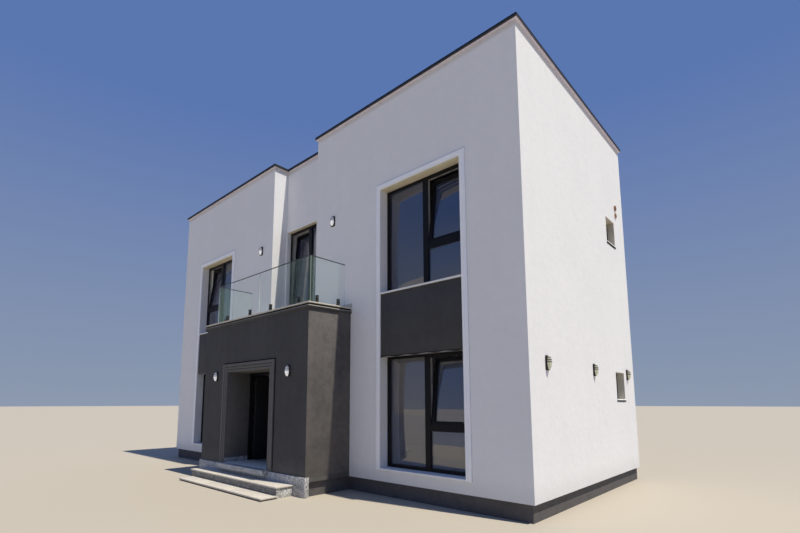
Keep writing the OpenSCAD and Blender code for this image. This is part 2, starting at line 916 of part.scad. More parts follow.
// Window bays
module spandrels() {
    color([0.2, 0.2, 0.22]) {
        both_bays() spandrel();
        at_back() both_bays() spandrel();
    }
}

// Elevation of what lies round a bay between two distances from its reveals
module trim_band(near, far) {
    difference() {
        rect(-bay_w / 2 - far, bay_w / 2 + far, lower_sill_z - sill_t, upper_head_z + far);
        rect(-bay_w / 2 - near, bay_w / 2 + near, lower_sill_z - sill_t - past,
             upper_head_z + near);
    }
}

// The raised trim round one bay, on both sides and across the top, with its groove
module trim() {
    difference() {
        upright(front_y - trim_t, trim_t) trim_band(0, trim_w);
        upright(front_y - trim_t - past, trim_groove_d + past)
            trim_band(trim_groove_in, trim_groove_in + trim_groove_w);
    }
}

module window_trims() {
    color([0.9, 0.9, 0.9]) {
        both_bays() trim();
        at_back() both_bays() trim();
    }
}

// The sills of one bay
module bay_sills() {
    for (z = [lower_sill_z, upper_sill_z])
        block(-bay_w / 2, bay_w / 2, front_y - sill_out, front_y, z - sill_t, z);
}

module window_sills() {
    color([0.8, 0.8, 0.8]) {
        both_bays() bay_sills();
        at_back() both_bays() bay_sills();
    }
}

module front_window_frames() {
    color([0.1, 0.1, 0.12]) both_bays() {
        window_frame(lower_sill_z, lower_head_z);
        window_frame(upper_sill_z, upper_head_z);
    }
}

module front_sashes() {
    color([0.12, 0.12, 0.14]) both_bays() {
        sash(lower_sill_z, lower_head_z, sash_tilt);
        sash(upper_sill_z, upper_head_z, sash_tilt);
    }
}

module front_window_glass() {
    color([0.3, 0.4, 0.5, 0.5]) both_bays() {
        fixed_panes(lower_sill_z, lower_head_z);
        fixed_panes(upper_sill_z, upper_head_z);
        sash_pane(lower_sill_z, lower_head_z, sash_tilt);
        sash_pane(upper_sill_z, upper_head_z, sash_tilt);
    }
}

module back_window_frames() {
    color([0.1, 0.1, 0.12]) at_back() both_bays() {
        window_frame(lower_sill_z, lower_head_z);
        window_frame(upper_sill_z, upper_head_z);
    }
}

module back_sashes() {
    color([0.12, 0.12, 0.14]) at_back() both_bays() {
        sash(lower_sill_z, lower_head_z, 0);
        sash(upper_sill_z, upper_head_z, 0);
    }
}

module back_window_glass() {
    color([0.3, 0.4, 0.5, 0.5]) at_back() both_bays() {
        fixed_panes(lower_sill_z, lower_head_z);
        fixed_panes(upper_sill_z, upper_head_z);
        sash_pane(lower_sill_z, lower_head_z, 0);
        sash_pane(upper_sill_z, upper_head_z, 0);
    }
}

// Balcony door: a tilted leaf on the left and a fixed light on the right
balcony_left_x = recess_mid_x - balcony_door_w / 2;
balcony_right_x = recess_mid_x + balcony_door_w / 2;
balcony_leaf_x = balcony_left_x + frame_w;
balcony_mullion_x = recess_mid_x - balcony_mullion_w / 2;
balcony_light_x = recess_mid_x + balcony_mullion_w / 2;
balcony_light_end_x = balcony_right_x - frame_w;
balcony_light_z = upper_floor_z + frame_w;
balcony_light_top_z = balcony_head_z - frame_w;

module balcony_door_frame() {
    color([0.1, 0.1, 0.12]) difference() {
        block(balcony_left_x, balcony_right_x, balcony_frame_y, balcony_frame_y + frame_d,
              upper_floor_z, balcony_head_z);
        sash_opening(balcony_leaf_x, balcony_mullion_x, balcony_light_z,
                     balcony_light_top_z, balcony_frame_y);
        light_opening(balcony_light_x, balcony_light_end_x, balcony_light_z,
                      balcony_light_top_z, balcony_frame_y);
    }
}

module balcony_door_leaf() {
    color([0.12, 0.12, 0.14])
        tilted(balcony_tilt, balcony_frame_y + frame_d, balcony_light_z)
            glazed_frame(balcony_leaf_x + sash_gap, balcony_mullion_x - sash_gap,
                         balcony_light_z, balcony_light_top_z - sash_gap, sash_w,
                         balcony_frame_y + frame_d - sash_d, sash_d);
}

module balcony_door_glass() {
    color([0.3, 0.4, 0.5, 0.5]) {
        light_pane(balcony_light_x, balcony_light_end_x, balcony_light_z,
                   balcony_light_top_z, balcony_frame_y);
        tilted(balcony_tilt, balcony_frame_y + frame_d, balcony_light_z)
            pane(balcony_leaf_x + sash_gap, balcony_mullion_x - sash_gap,
                 balcony_light_z, balcony_light_top_z - sash_gap, sash_w,
                 balcony_frame_y + frame_d - sash_d, sash_d);
    }
}

// Side windows
module side_window_frames() {
    color([0.1, 0.1, 0.12]) both_sides()
        sideways(right_x - side_set - frame_d, frame_d) difference() {
            side_openings();
            offset(delta = -frame_w) side_openings();
        }
}

module side_window_glass() {
    color([0.3, 0.4, 0.5, 0.5]) both_sides()
        sideways(right_x - side_set - (frame_d + pane_t) / 2, pane_t)
            offset(delta = -frame_w) side_openings();
}

module side_window_sills() {
    color([0.8, 0.8, 0.8]) both_sides()
        for (z = [side_lower_z, side_upper_z])
            block(right_x, right_x + sill_out, back_y - side_window_in - side_window - sill_t,
                  back_y - side_window_in + sill_t, z - side_sill_t, z);
}

// Balustrade
// The balustrade's sheets in plan, of a given thickness about the glass's middle
module rail_plan(t) {
    grow = (t - rail_glass_t) / 2;
    rect(rail_left_x - grow, rail_joint_x - rail_joint / 2, rail_y - grow,
         rail_y + rail_glass_t + grow);
    rect(rail_joint_x + rail_joint / 2, rail_right_x + grow, rail_y - grow,
         rail_y + rail_glass_t + grow);
    for (x = [rail_left_x, rail_right_x - rail_glass_t])
        rect(x - grow, x + rail_glass_t + grow, rail_y + rail_glass_t + rail_joint,
             front_y - rail_wall_gap);
}

// The sheets, whose feet follow the balcony's fall
module rail_sheets() {
    difference() {
        translate([0, 0, balcony_edge_z]) linear_extrude(glass_top_z - balcony_edge_z)
            rail_plan(rail_glass_t);
        layer(rail_left_x - past, rail_right_x + past, rail_y - past, front_y,
              -rail_under, slab_t);
    }
}

module balustrade_glass() {
    color([0.6, 0.75, 0.7, 0.4]) rail_sheets();
}

module balustrade_cap() {
    color([0.1, 0.1, 0.12]) difference() {
        translate([0, 0, rail_top_z - cap_h]) linear_extrude(cap_h) rail_plan(cap_w);
        rail_sheets();
    }
}

// A clamp's body, which stands on the paving
module clamp_body(x0, x1, y0, y1) {
    top_z = paving_z(y0) + clamp_h;
    sideways(x0, x1 - x0)
        polygon([[y0, paving_z(y0)], [y1, paving_z(y1)], [y1, top_z], [y0, top_z]]);
}

// A clamp that holds a sheet of glass running along X
module clamp(x) {
    mid_y = rail_y + rail_glass_t / 2;
    clamp_body(x - clamp_w / 2, x + clamp_w / 2, mid_y - clamp_d / 2, mid_y + clamp_d / 2);
}

// The same for a sheet running along Y, whose outer face is at x
module side_clamp(x, y) {
    mid_x = x + rail_glass_t / 2;
    clamp_body(mid_x - clamp_d / 2, mid_x + clamp_d / 2, y - clamp_w / 2, y + clamp_w / 2);
}

module balustrade_clamps() {
    left_sheet_w = rail_joint_x - rail_left_x;
    right_sheet_w = rail_right_x - rail_joint_x;
    return_y = rail_y + rail_glass_t + rail_joint;
    return_l = front_y - rail_wall_gap - return_y;
    color([0.1, 0.1, 0.12]) difference() {
        union() {
            for (k = [clamp_near, clamp_far]) {
                clamp(rail_left_x + left_sheet_w * k);
                clamp(rail_joint_x + right_sheet_w * k);
            }
            for (k = [side_clamp_near, clamp_far])
                for (x = [rail_left_x, rail_right_x - rail_glass_t])
                    side_clamp(x, return_y + return_l * k);
        }
        rail_sheets();
    }
}

// Wall lamps
// A lamp's outline with round ends
module lamp_outline(w, h) {
    for (side = [-1, 1]) translate([0, side * (h - w) / 2]) circle(d = w);
    square([w, h - w], center = true);
}

module lamp_plate() {
    rotate([90, 0, 0]) {
        linear_extrude(lamp_rim_t) lamp_outline(lamp_w, lamp_h);
        linear_extrude(lamp_t)
            lamp_outline(lamp_w - 2 * lamp_rim_w, lamp_h - 2 * lamp_rim_w);
    }
}

module lamp_globe() {
    reach = (lamp_h - lamp_w) / 2;
    translate([0, -lamp_t, 0]) intersection() {
        union() {
            translate([0, 0, -reach]) cylinder(h = 2 * reach, r = globe_r);
            for (side = [-1, 1]) translate([0, 0, side * reach]) sphere(r = globe_r);
        }
        block(-lamp_h, lamp_h, -lamp_h, 0, -lamp_h, lamp_h);
    }
}

// The ribs that lie round the upper half of a globe
module lamp_rib_set() {
    reach = (lamp_h - lamp_w) / 2;
    translate([0, -lamp_t, 0]) for (i = [0:lamp_ribs_n - 1]) {
        z = rib_up + i * rib_pitch;
        r = z > reach ? sqrt(pow(globe_r, 2) - pow(z - reach, 2)) : globe_r;
        difference() {
            translate([0, 0, z]) cylinder(h = rib_h, r = r + rib_out);
            translate([0, 0, z - past]) cylinder(h = rib_h + 2 * past, r = r);
            block(-lamp_h, lamp_h, 0, lamp_h, -lamp_h, lamp_h);
        }
    }
}

// Every place on a wall where a lamp hangs
module each_lamp() {
    for (side = [-1, 1]) {
        translate([porch_x + side * front_lamp_off, front_y, upper_lamp_z]) children();
        translate([porch_x + side * front_lamp_off, porch_y, lower_lamp_z]) children();
    }
    both_sides() for (i = [0:2])
        translate([right_x, front_y + side_lamp_in + i * side_lamp_pitch, lower_lamp_z])
            rotate([0, 0, 90]) children();
}

module lamp_plates() {
    color([0.1, 0.1, 0.1]) each_lamp() lamp_plate();
}

module lamp_globes() {
    color([0.9, 0.9, 0.85]) each_lamp() lamp_globe();
}

module lamp_ribs() {
    color([0.1, 0.1, 0.1]) each_lamp() lamp_rib_set();
}

// A round vent: a back plate and a rim, with slats across it
module vent(d) {
    inner_d = d - 2 * vent_skin;
    difference() {
        cylinder(h = vent_t, d = d);
        translate([0, 0, vent_skin]) cylinder(h = vent_t, d = inner_d);
    }
    intersection() {
        cylinder(h = vent_t, d = inner_d + vent_skin);
        for (i = [1:vent_slats])
            translate([inner_d * (i / (vent_slats + 1) - 0.5) - vent_skin / 2, -d / 2,
                       vent_skin / 2])
                cube([vent_skin, d, vent_t - vent_skin]);
    }
}

module vents() {
    color([0.5, 0.4, 0.3]) translate([right_x, back_y - vent_in, upper_vent_z]) {
        rotate([0, 90, 0]) vent(upper_vent_dia);
        translate([0, 0, -vent_pitch]) rotate([0, 90, 0]) vent(lower_vent_dia);
    }
}

plinth();
ground_floor();
right_front_wall();
left_front_wall();
right_return_wall();
left_return_wall();
middle_wall();
right_side_wall();
left_side_wall();
back_wall();
upper_floor();
roof_deck();
coping_board();
coping_cap();
porch_right_front();
porch_left_front();
porch_right_side();
porch_left_side();
porch_lintel();
balcony_slab();
balcony_paving();
granite_base();
entrance_surround();
reveal_skirting();
threshold();
upper_step();
upper_tread();
lower_step();
door_frame();
side_light();
door_leaf();
door_handle();
frame_hinges();
leaf_hinges();
spandrels();
window_trims();
window_sills();
front_window_frames();
front_sashes();
front_window_glass();
back_window_frames();
back_sashes();
back_window_glass();
balcony_door_frame();
balcony_door_leaf();
balcony_door_glass();
side_window_frames();
side_window_glass();
side_window_sills();
balustrade_glass();
balustrade_cap();
balustrade_clamps();
lamp_plates();
lamp_globes();
lamp_ribs();
vents();
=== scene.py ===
from math import pi, radians

import bpy
import numpy as np
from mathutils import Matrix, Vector


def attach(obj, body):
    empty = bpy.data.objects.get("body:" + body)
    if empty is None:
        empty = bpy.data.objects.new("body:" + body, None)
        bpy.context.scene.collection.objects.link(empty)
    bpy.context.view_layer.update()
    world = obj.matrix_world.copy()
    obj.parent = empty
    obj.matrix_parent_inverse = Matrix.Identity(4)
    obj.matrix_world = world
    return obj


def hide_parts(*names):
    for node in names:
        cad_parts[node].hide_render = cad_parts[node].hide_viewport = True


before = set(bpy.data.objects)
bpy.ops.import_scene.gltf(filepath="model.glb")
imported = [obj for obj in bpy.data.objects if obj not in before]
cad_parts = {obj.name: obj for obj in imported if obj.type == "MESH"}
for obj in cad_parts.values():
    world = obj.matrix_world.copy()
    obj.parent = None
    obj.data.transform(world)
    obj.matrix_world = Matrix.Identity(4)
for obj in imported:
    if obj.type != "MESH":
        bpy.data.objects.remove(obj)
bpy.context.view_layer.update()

# Directions, a span that goes through any wall, and the turns that bring a form from the front
# to the right side and, mirrored, to the left one
ACROSS, INWARD, UPWARD, THROUGH = (1, 0, 0), (0, 1, 0), (0, 0, 1), (-9.0, 9.0)
QUARTER, MIRRORED = ((0, -1, 0), (1, 0, 0), (0, 0, 1)), ((0, 1, 0), (1, 0, 0), (0, 0, 1))

# Edges over the first angle are shaded sharp. A cut frame's bevel of the given width eases
# those over the second
SHARP_ANGLE, EASED_ANGLE, FRAME_EASE = radians(32), radians(50), 0.0015

# Planes of the house, as in the part's source
FRONT_Y, BACK_Y, SIDE_X = -1.9155, 3.7645, 6.325
WALL_T = 0.35
PORCH_Y, PORCH_LEFT, PORCH_RIGHT = -3.0555, -2.0735, 2.2615
RECESS_Y, RECESS_LEFT, RECESS_RIGHT = -1.4755, -0.895, 1.005
MIDDLE_BACK_Y = -1.0255
GROUND_Z, UPPER_Z, DECK_Z, TOP_Z = 0.4, 3.87, 7.5, 8.39
COPING_FOOT, COPING_LIP, COPING_OUT, SLAB_UNDER_Z = 8.31, 8.344, 0.055, 3.636

# Window bays: middles, half width, and the sill and head levels of both storeys
BAY_X = {"right": 4.155, "left": -4.025}
BAY_HALF = 0.99
BAY_EDGES = (-BAY_HALF, BAY_HALF)
STOREYS = ((0.53, 2.72), (4.04, 6.28))
FRAME_Y, FRAME_D, FRAME_W, HEAD_W = -1.7155, 0.08, 0.065, 0.042
MULLION_LEFT, MULLION_RIGHT = -0.025, 0.095
LIGHT_LEFT, LIGHT_RIGHT = -0.925, 0.925
TRANSOM_LOW, TRANSOM_HIGH = 0.75, 0.84
PANE_FRONT, PANE_LAP, SHEET_T, SHEET_GAP = 0.028, 0.012, 0.004, 0.016
INNER_DEPTH = FRONT_Y + WALL_T - FRAME_Y
STOP_W, STOP_D = 0.012, 0.01
SASH_W, SASH_D, SASH_GAP = 0.075, 0.07, 0.004
SASH_TILT, BALCONY_TILT = radians(7), radians(3.5)
SASH_GLASS = STOP_D + SASH_D / 2 - SHEET_T - SHEET_GAP / 2
SILL_OUT, SILL_T, SPANDREL_T, SPANDREL_JOINT = 0.035, 0.03, 0.025, 0.004
TRIM_W, TRIM_T, TRIM_GROOVE = 0.11, 0.03, (0.046, 0.06)

# Entrance: the doorway, its frame, the leaf's closed place and the hinge's axis
DOOR_X, DOOR_Z = (-0.9, 0.94), (GROUND_Z, 2.54)
DOOR_FRAME_Y, DOOR_FRAME_W = -2.4405, 0.07
STRIKE_X = 0.184
LEAF_X, LEAF_Y, LEAF_Z = (-0.823, 0.177), (-2.4305, -2.3605), (0.407, 2.463)
HINGE_X, HINGE_Y = -0.8265, -2.3515
HANDLE_X, HANDLE_Z = 0.107, 1.45
HANDLE_OUT, ROSE_D, LEVER_R, LEVER_L = 0.048, 0.052, 0.01, 0.13
HINGE_R, HINGE_L, HINGE_FLAP, HINGE_SLIT = 0.009, 0.12, 0.038, 0.0015
HINGE_LEVELS = (LEAF_Z[0] + 0.22, sum(LEAF_Z) / 2, LEAF_Z[1] - 0.22)
SURROUND_W, SURROUND_T, SURROUND_BANDS = 0.19, 0.03, 3

# Stone at the entrance: the threshold's ears, the granite's thickness and the steps' edges
EAR_LEFT, EAR_RIGHT, GRANITE_T, GRANITE_Z = -0.96, 1.0, 0.03, 0.375
FLOOR_NOSE_Y, FLOOR_BACK_Y, FLOOR_UNDER_Z = -3.2035, -2.3605, 0.288
STEP_Y, LOWER_STEP_Y, UPPER_STEP_BACK = -3.4835, -3.8195, -3.0858
TREAD_X, RISER_X, LOWER_STEP_X = (-1.7005, 1.9445), (-1.6805, 1.9245), (-1.5495, 1.9555)
TREAD_Z, LOWER_STEP_Z, RISER_Z = (0.183, 0.213), (0.026, 0.056), 0.176

# Balcony: its fall, its paving's nose, the door, and the middles of the glass
BALCONY_FALL, PAVING_OUT, PAVING_T = 0.05, 0.047, 0.032
BALCONY_DOOR_X, BALCONY_DOOR_Y, BALCONY_DOOR_Z = (-0.845, 0.955), -1.3655, (UPPER_Z, 6.51)
BALCONY_MULLION = (0.0, 0.11)
RAIL_LEFT, RAIL_RIGHT, RAIL_JOINT_X = -1.5955, 2.2305, 0.3385
RAIL_FRONT_Y, RAIL_BACK_Y, RETURN_Y = -3.0105, -2.0725, -2.9925
RAIL_TOP_Z, RAIL_T, RAIL_UNDER = 4.805, 0.016, 0.022
CLAMP_W, CLAMP_D, CLAMP_H = 0.05, 0.056, 0.16
FRONT_CLAMP_X, RETURN_CLAMP_Y = (-1.118, -0.0499, 0.8135, 1.8585), (-2.8269, -2.2565)

# Lamps, vents and side windows
LAMP_W, LAMP_H, LAMP_T, GLOBE_R, GLOBE_H = 0.13, 0.25, 0.03, 0.052, 0.112
LAMP_X, LAMP_UPPER_Z, LAMP_LOWER_Z = (-1.441, 1.629), 6.015, 2.45
SIDE_LAMP_Y = (-1.2605, 0.9845, 3.2295)
RIB_LEVELS, RIB_H, RIB_OUT = (0.008, 0.046, 0.084), 0.011, 0.0048
SIDE_WINDOW_Y, SIDE_WINDOW_Z, SIDE_WINDOW = (2.3795, 2.9795), (1.88, 5.53), 0.6
SIDE_SET, SIDE_SILL_T = 0.15, 0.055
SIDE_NOSE_OUT, SIDE_NOSE_T, SIDE_SILL_END = 0.02, 0.026, 0.02


# Forms
def together(*forms):
    """Several forms as one: their points in a row, with each one's faces counted on."""
    points, faces, kinds, start = [], [], [], 0
    for p, f, k in forms:
        points.append(p)
        faces += [[i + start for i in face] for face in f]
        kinds += k
        start += len(p)
    return np.vstack(points), faces, kinds


def ringed(points, closed=False, kind=0):
    """A form of rings of points joined in a row. The last ring joins the first one, or else
    both ends are closed. All faces turn round where the volume that they close, a sum over
    fans, is negative."""
    rows, columns = points.shape[:2]
    r = np.arange(rows if closed else rows - 1)[:, None]
    c = np.arange(columns)[None, :]
    r_next, c_next = (r + 1) % rows, (c + 1) % columns
    corners = (r * columns + c, r * columns + c_next, r_next * columns + c_next,
               r_next * columns + c)
    faces = np.stack(corners, -1).reshape(-1, 4).tolist()
    if not closed:
        faces += [list(range(columns))[::-1], list(range((rows - 1) * columns, rows * columns))]
    points, total = points.reshape(-1, 3), 0.0
    for size in set(map(len, faces)):
        p = points[np.array([f for f in faces if len(f) == size])]
        fans = np.cross(p[:, 1:-1] - p[:, :1], p[:, 2:] - p[:, :1])
        total += (fans * p[:, :1]).sum()
    if total < 0:
        faces = [f[::-1] for f in faces]
    return points, faces, [kind] * len(faces)


def carried(profile, path, up=UPWARD, closed=False, kind=0):
    """A closed profile carried along a path. At each corner of the path the profile's first
    number runs along the mitre, the sum of both sides' normals over one plus their product,
    and its second runs along up."""
    profile, path, up = (np.asarray(v, float) for v in (profile, path, up))
    ahead = np.roll(path, -1, 0) - path
    if not closed:
        ahead = ahead[:-1]
    ahead /= np.linalg.norm(ahead, axis=1, keepdims=True)
    side = np.cross(ahead, up)
    if closed:
        before, after = np.roll(side, 1, 0), side
    else:
        before, after = np.vstack([side[:1], side]), np.vstack([side, side[-1:]])
    mitre = (before + after) / (1 + (before * after).sum(1, keepdims=True))
    points = path[:, None] + profile[:, :1] * mitre[:, None] + profile[:, 1:] * up
    return ringed(points, closed, kind)


def along(profile, x, y, z, kind=0):
    """A profile carried from left to right at y and z."""
    return carried(profile, ((x[0], y, z), (x[1], y, z)), kind=kind)


def eased(corners, r=0.002, steps=2):
    """A closed outline with each corner cut by an arc: points on the curve that leaves one
    side r from the corner and joins the next r past it, weighted by squares of the share."""
    p = np.asarray(corners, float)
    back, ahead = np.roll(p, 1, 0) - p, np.roll(p, -1, 0) - p
    reach = np.minimum(np.linalg.norm(back, axis=1), np.linalg.norm(ahead, axis=1)) / 2
    r = np.minimum(r, reach)[:, None]
    a = p + back / np.linalg.norm(back, axis=1, keepdims=True) * r
    b = p + ahead / np.linalg.norm(ahead, axis=1, keepdims=True) * r
    t = np.linspace(0, 1, steps + 1)[None, :, None]
    arc = (1 - t) ** 2 * a[:, None] + 2 * t * (1 - t) * p[:, None] + t ** 2 * b[:, None]
    return arc.reshape(-1, 2)


def fretted(*boxes):
    """A solid of boxes on one grid. Each box sets the cells whose middles lie in it to filled
    or empty, and a face stands wherever a filled cell meets an empty one."""
    ends = np.array([np.concatenate([low, high]) for low, high, _ in boxes])
    planes = [np.unique(np.round(ends[:, [a, a + 3]], 6)) for a in range(3)]
    middles = [(p[1:] + p[:-1]) / 2 for p in planes]
    filled = np.zeros([len(m) for m in middles], bool)
    for low, high, solid in boxes:
        filled[np.ix_(*[(m > a) & (m < b) for m, a, b in zip(middles, low, high)])] = solid
    shape = [len(p) for p in planes]
    points = np.stack(np.meshgrid(*planes, indexing="ij"), -1).reshape(-1, 3)
    faces = []
    for axis in range(3):
        order = (axis, (axis + 1) % 3, (axis + 2) % 3)
        cells = np.pad(filled.transpose(order), ((1, 1), (0, 0), (0, 0)))
        for out, way in ((cells[:-1] & ~cells[1:], 1), (~cells[:-1] & cells[1:], -1)):
            i, j, k = np.nonzero(out)
            corners = []
            for dj, dk in ((0, 0), (1, 0), (1, 1), (0, 1))[::way]:
                place = [None] * 3
                for a, index in zip(order, (i, j + dj, k + dk)):
                    place[a] = index
                corners.append(np.ravel_multi_index(place, shape))
            faces.append(np.stack(corners, -1))
    faces = np.vstack(faces)
    used, faces = np.unique(faces, return_inverse=True)
    faces = faces.reshape(-1, 4)
    return points[used], faces.tolist(), [0] * len(faces)


def box(x, y, z, solid=True):
    """One box of a fretted solid, by its two ends along each axis."""
    return (x[0], y[0], z[0]), (x[1], y[1], z[1]), solid


def edged(form, axis):
    """A form whose faces that don't face along the given axis are of kind 1."""
    points, faces, kinds = form
    p = points[np.array([f[:3] for f in faces])]
    normal = np.abs(np.cross(p[:, 1] - p[:, 0], p[:, 2] - p[:, 0]))
    normal /= normal.sum(1, keepdims=True) + 1e-12
    return points, faces, np.where(normal[:, axis] < 0.6, 1, kinds).tolist()


def fallen(form, above=-np.inf, below=np.inf):
    """A form drawn on a level balcony at the height of its door, whose points between two
    levels are lowered by the balcony's fall, which grows evenly from the door's wall to the
    front edge."""
    points, faces, kinds = form
    share = (RECESS_Y - points[:, 1]) / (RECESS_Y - PORCH_Y + PAVING_OUT)
    falls = (points[:, 2] > above) & (points[:, 2] < below)
    drop = np.where(falls, BALCONY_FALL * share, 0)
    return points - np.stack([0 * drop, 0 * drop, drop], 1), faces, kinds


def oval(width, height, r, steps):
    """A rectangle with round corners: four quarter circles of radius r about its corners."""
    turn = np.linspace(0, pi / 2, steps + 1)[None, :] + np.arange(4)[:, None] * pi / 2
    signs = np.array([[1, 1], [-1, 1], [-1, -1], [1, -1]], float)
    hub = signs * (np.array([width, height]) / 2 - r)
    ring = np.stack([np.cos(turn), np.sin(turn)], -1) * r
    return (hub[:, None] + ring).reshape(-1, 2)


def stacked(size, r, levels, origin, axes, steps=4, kind=0):
    """Rings of one outline with round corners, moved in by an inset at each level. The axes
    are the outline's two directions and the one in which the levels count, all from origin."""
    rings = []
    for inset, level in levels:
        ring = oval(size[0] - 2 * inset, size[1] - 2 * inset, max(r - inset, 0.0002), steps)
        rings.append(np.column_stack([ring, np.full(len(ring), level)]) @ np.array(axes, float))
    return ringed(np.array(rings) + origin, kind=kind)


def stud(size, at, side, levels, steps=4, kind=0):
    """A round head on an upright face, which comes out along y to the given side."""
    axes = (ACROSS, UPWARD, (0, side, 0))
    return stacked((size, size), size / 2, levels, at, axes, steps, kind)


def block(x, y, z, ease=0.003, kind=0):
    """A block by its two ends along each axis, with eased edges: six rings from its foot to
    its top."""
    low, high = np.transpose([x, y, z]).astype(float)
    size, mid = high - low, (low + high) / 2
    e = min(ease, size.min() / 2.5)
    levels = ((e, 0), (e * 0.3, e * 0.3), (0, e), (0, size[2] - e),
              (e * 0.3, size[2] - e * 0.3), (e, size[2]))
    return stacked(size, e, levels, (mid[0], mid[1], low[2]), np.eye(3), 3, kind)


def tube(path, radius, steps):
    """A round bar along a level path: circles square to the path's direction, with two
    smaller ones past each end that round it."""
    ahead = np.gradient(path, axis=0)
    ahead /= np.linalg.norm(ahead, axis=1, keepdims=True)
    past = radius * np.array([[0.9], [0.6]])
    path = np.vstack([path[0] - ahead[0] * past, path, path[-1] + ahead[-1] * past[::-1]])
    r = radius * np.concatenate([[0.35, 0.75], np.ones(len(ahead)), [0.75, 0.35]])
    ahead = np.vstack([ahead[:1], ahead[:1], ahead, ahead[-1:], ahead[-1:]])
    side = np.cross(ahead, UPWARD)
    top = np.cross(side, ahead)
    a = np.linspace(0, 2 * pi, steps, endpoint=False)[None, :, None]
    ring = np.cos(a) * side[:, None] + np.sin(a) * top[:, None]
    return ringed(path[:, None] + r[:, None, None] * ring)


def lathed(profile, at, steps=20):
    """A profile of radii and levels turned about an upright axis."""
    a = np.linspace(0, 2 * pi, steps, endpoint=False)
    rings = [np.stack([r * np.cos(a), r * np.sin(a), level + 0 * a], 1) for r, level in profile]
    return ringed(np.array(rings) + at)


def moved(form, turn=np.eye(3), shift=(0, 0, 0)):
    """A form with its points turned by a matrix and shifted. Its faces turn round where the
    matrix mirrors it."""
    points, faces, kinds = form
    turn = np.asarray(turn, float)
    if np.linalg.det(turn) < 0:
        faces = [f[::-1] for f in faces]
    return points @ turn.T + shift, faces, kinds


def turned(form, turn, hub):
    """A form turned by a matrix about a point."""
    return moved(form, turn, hub - np.array(turn) @ hub)


def tipped(form, y, z, angle):
    """A form turned about the line at y and z so that its top goes in."""
    c, s = np.cos(angle), np.sin(angle)
    return turned(form, ((1, 0, 0), (0, c, s), (0, -s, c)), (0, y, z))


def at_bay(form, side, back=False):
    """A form drawn about a bay's middle at the front, moved to the bay: the left one is
    mirrored, and the back ones are mirrored front to back."""
    turn = np.diag((-1 if side == "left" else 1, -1 if back else 1, 1))
    return moved(form, turn, (BAY_X[side], FRONT_Y + BACK_Y if back else 0, 0))


def all_bays(make, back=False):
    """What make draws for a sill and a head level, in both bays and both storeys."""
    return together(*[at_bay(make(*levels), side, back) for side in BAY_X for levels in STOREYS])


def both_bays(form):
    """A form at both bays of the front and of the back."""
    return together(*[at_bay(form, side, back) for side in BAY_X for back in (False, True)])


def on_sides(form, y=0, z=0):
    """A form drawn as from the front, with its y counted in from the wall's face, at a place
    on the right side and mirrored on the left side."""
    return together(moved(form, QUARTER, (SIDE_X, y, z)), moved(form, MIRRORED, (-SIDE_X, y, z)))


def dress(finish, *nodes):
    """Gives CAD nodes a finish in place of their own."""
    for node in nodes:
        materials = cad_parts[node].data.materials
        materials.clear()
        materials.append(finish)


def placed(name, data):
    """A new object in the scene."""
    thing = bpy.data.objects.new(name, data)
    bpy.context.scene.collection.objects.link(thing)
    return thing


def piece(name, slot, form, finishes, *replaces, body="house", soft=0):
    """Puts a form into the scene as a piece that rides on a body, and gives the CAD nodes
    that it replaces its first finish. Soft is the width of a bevel that eases its edges."""
    points, faces, kinds = form
    mesh = bpy.data.meshes.new(name)
    mesh.from_pydata(points.tolist(), [], faces)
    for finish in finishes:
        mesh.materials.append(finish)
    mesh.polygons.foreach_set("material_index", np.array(kinds, np.int32))
    mesh.polygons.foreach_set("use_smooth", np.ones(len(faces), bool))
    mesh.validate()
    mesh.update()
    mesh.set_sharp_from_angle(angle=SHARP_ANGLE)
    thing = placed(name, mesh)
    if soft:
        bevel = thing.modifiers.new("eased_edges", "BEVEL")
        bevel.width, bevel.segments = soft, 2
        bevel.limit_method, bevel.angle_limit = "ANGLE", EASED_ANGLE
    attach(thing, body)
    if replaces:
        dress(finishes[0], *replaces)
        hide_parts(*replaces)


# Finishes
class Wire:
    """A socket of a finish. Operators on wires and numbers add Math nodes."""

    def __init__(self, finish, socket):
        self.finish, self.socket = finish, socket

    def math(self, operation, first, second):
        """A Math node on two values."""
        return self.finish.add("Math", {"operation": operation}, {0: first, 1: second})

    def __add__(self, other):
        return self.math("ADD", self, other)

    def __sub__(self, other):
        return self.math("SUBTRACT", self, other)

    def __rsub__(self, other):
        return self.math("SUBTRACT", other, self)

    def __mul__(self, other):
        return self.math("MULTIPLY", self, other)

    __radd__ = __add__
    __rmul__ = __mul__

    def over(self, low, high):
        """0 below low, 1 above high, and a smooth rise between them."""
        return self.finish.add("MapRange", {"interpolation_type": "SMOOTHSTEP"},
                               {"Value": self, "From Min": low, "From Max": high})

    def mix(self, first, second):
        """The first colour where this wire is 0, the second where it is 1."""
        return self.finish.add("Mix", {"data_type": "RGBA"}, {0: self, 6: first, 7: second}, 2)

    def part(self, axis):
        """One of the three numbers of a vector."""
        return self.finish.add("SeparateXYZ", {}, {"Vector": self}, "XYZ".index(axis))


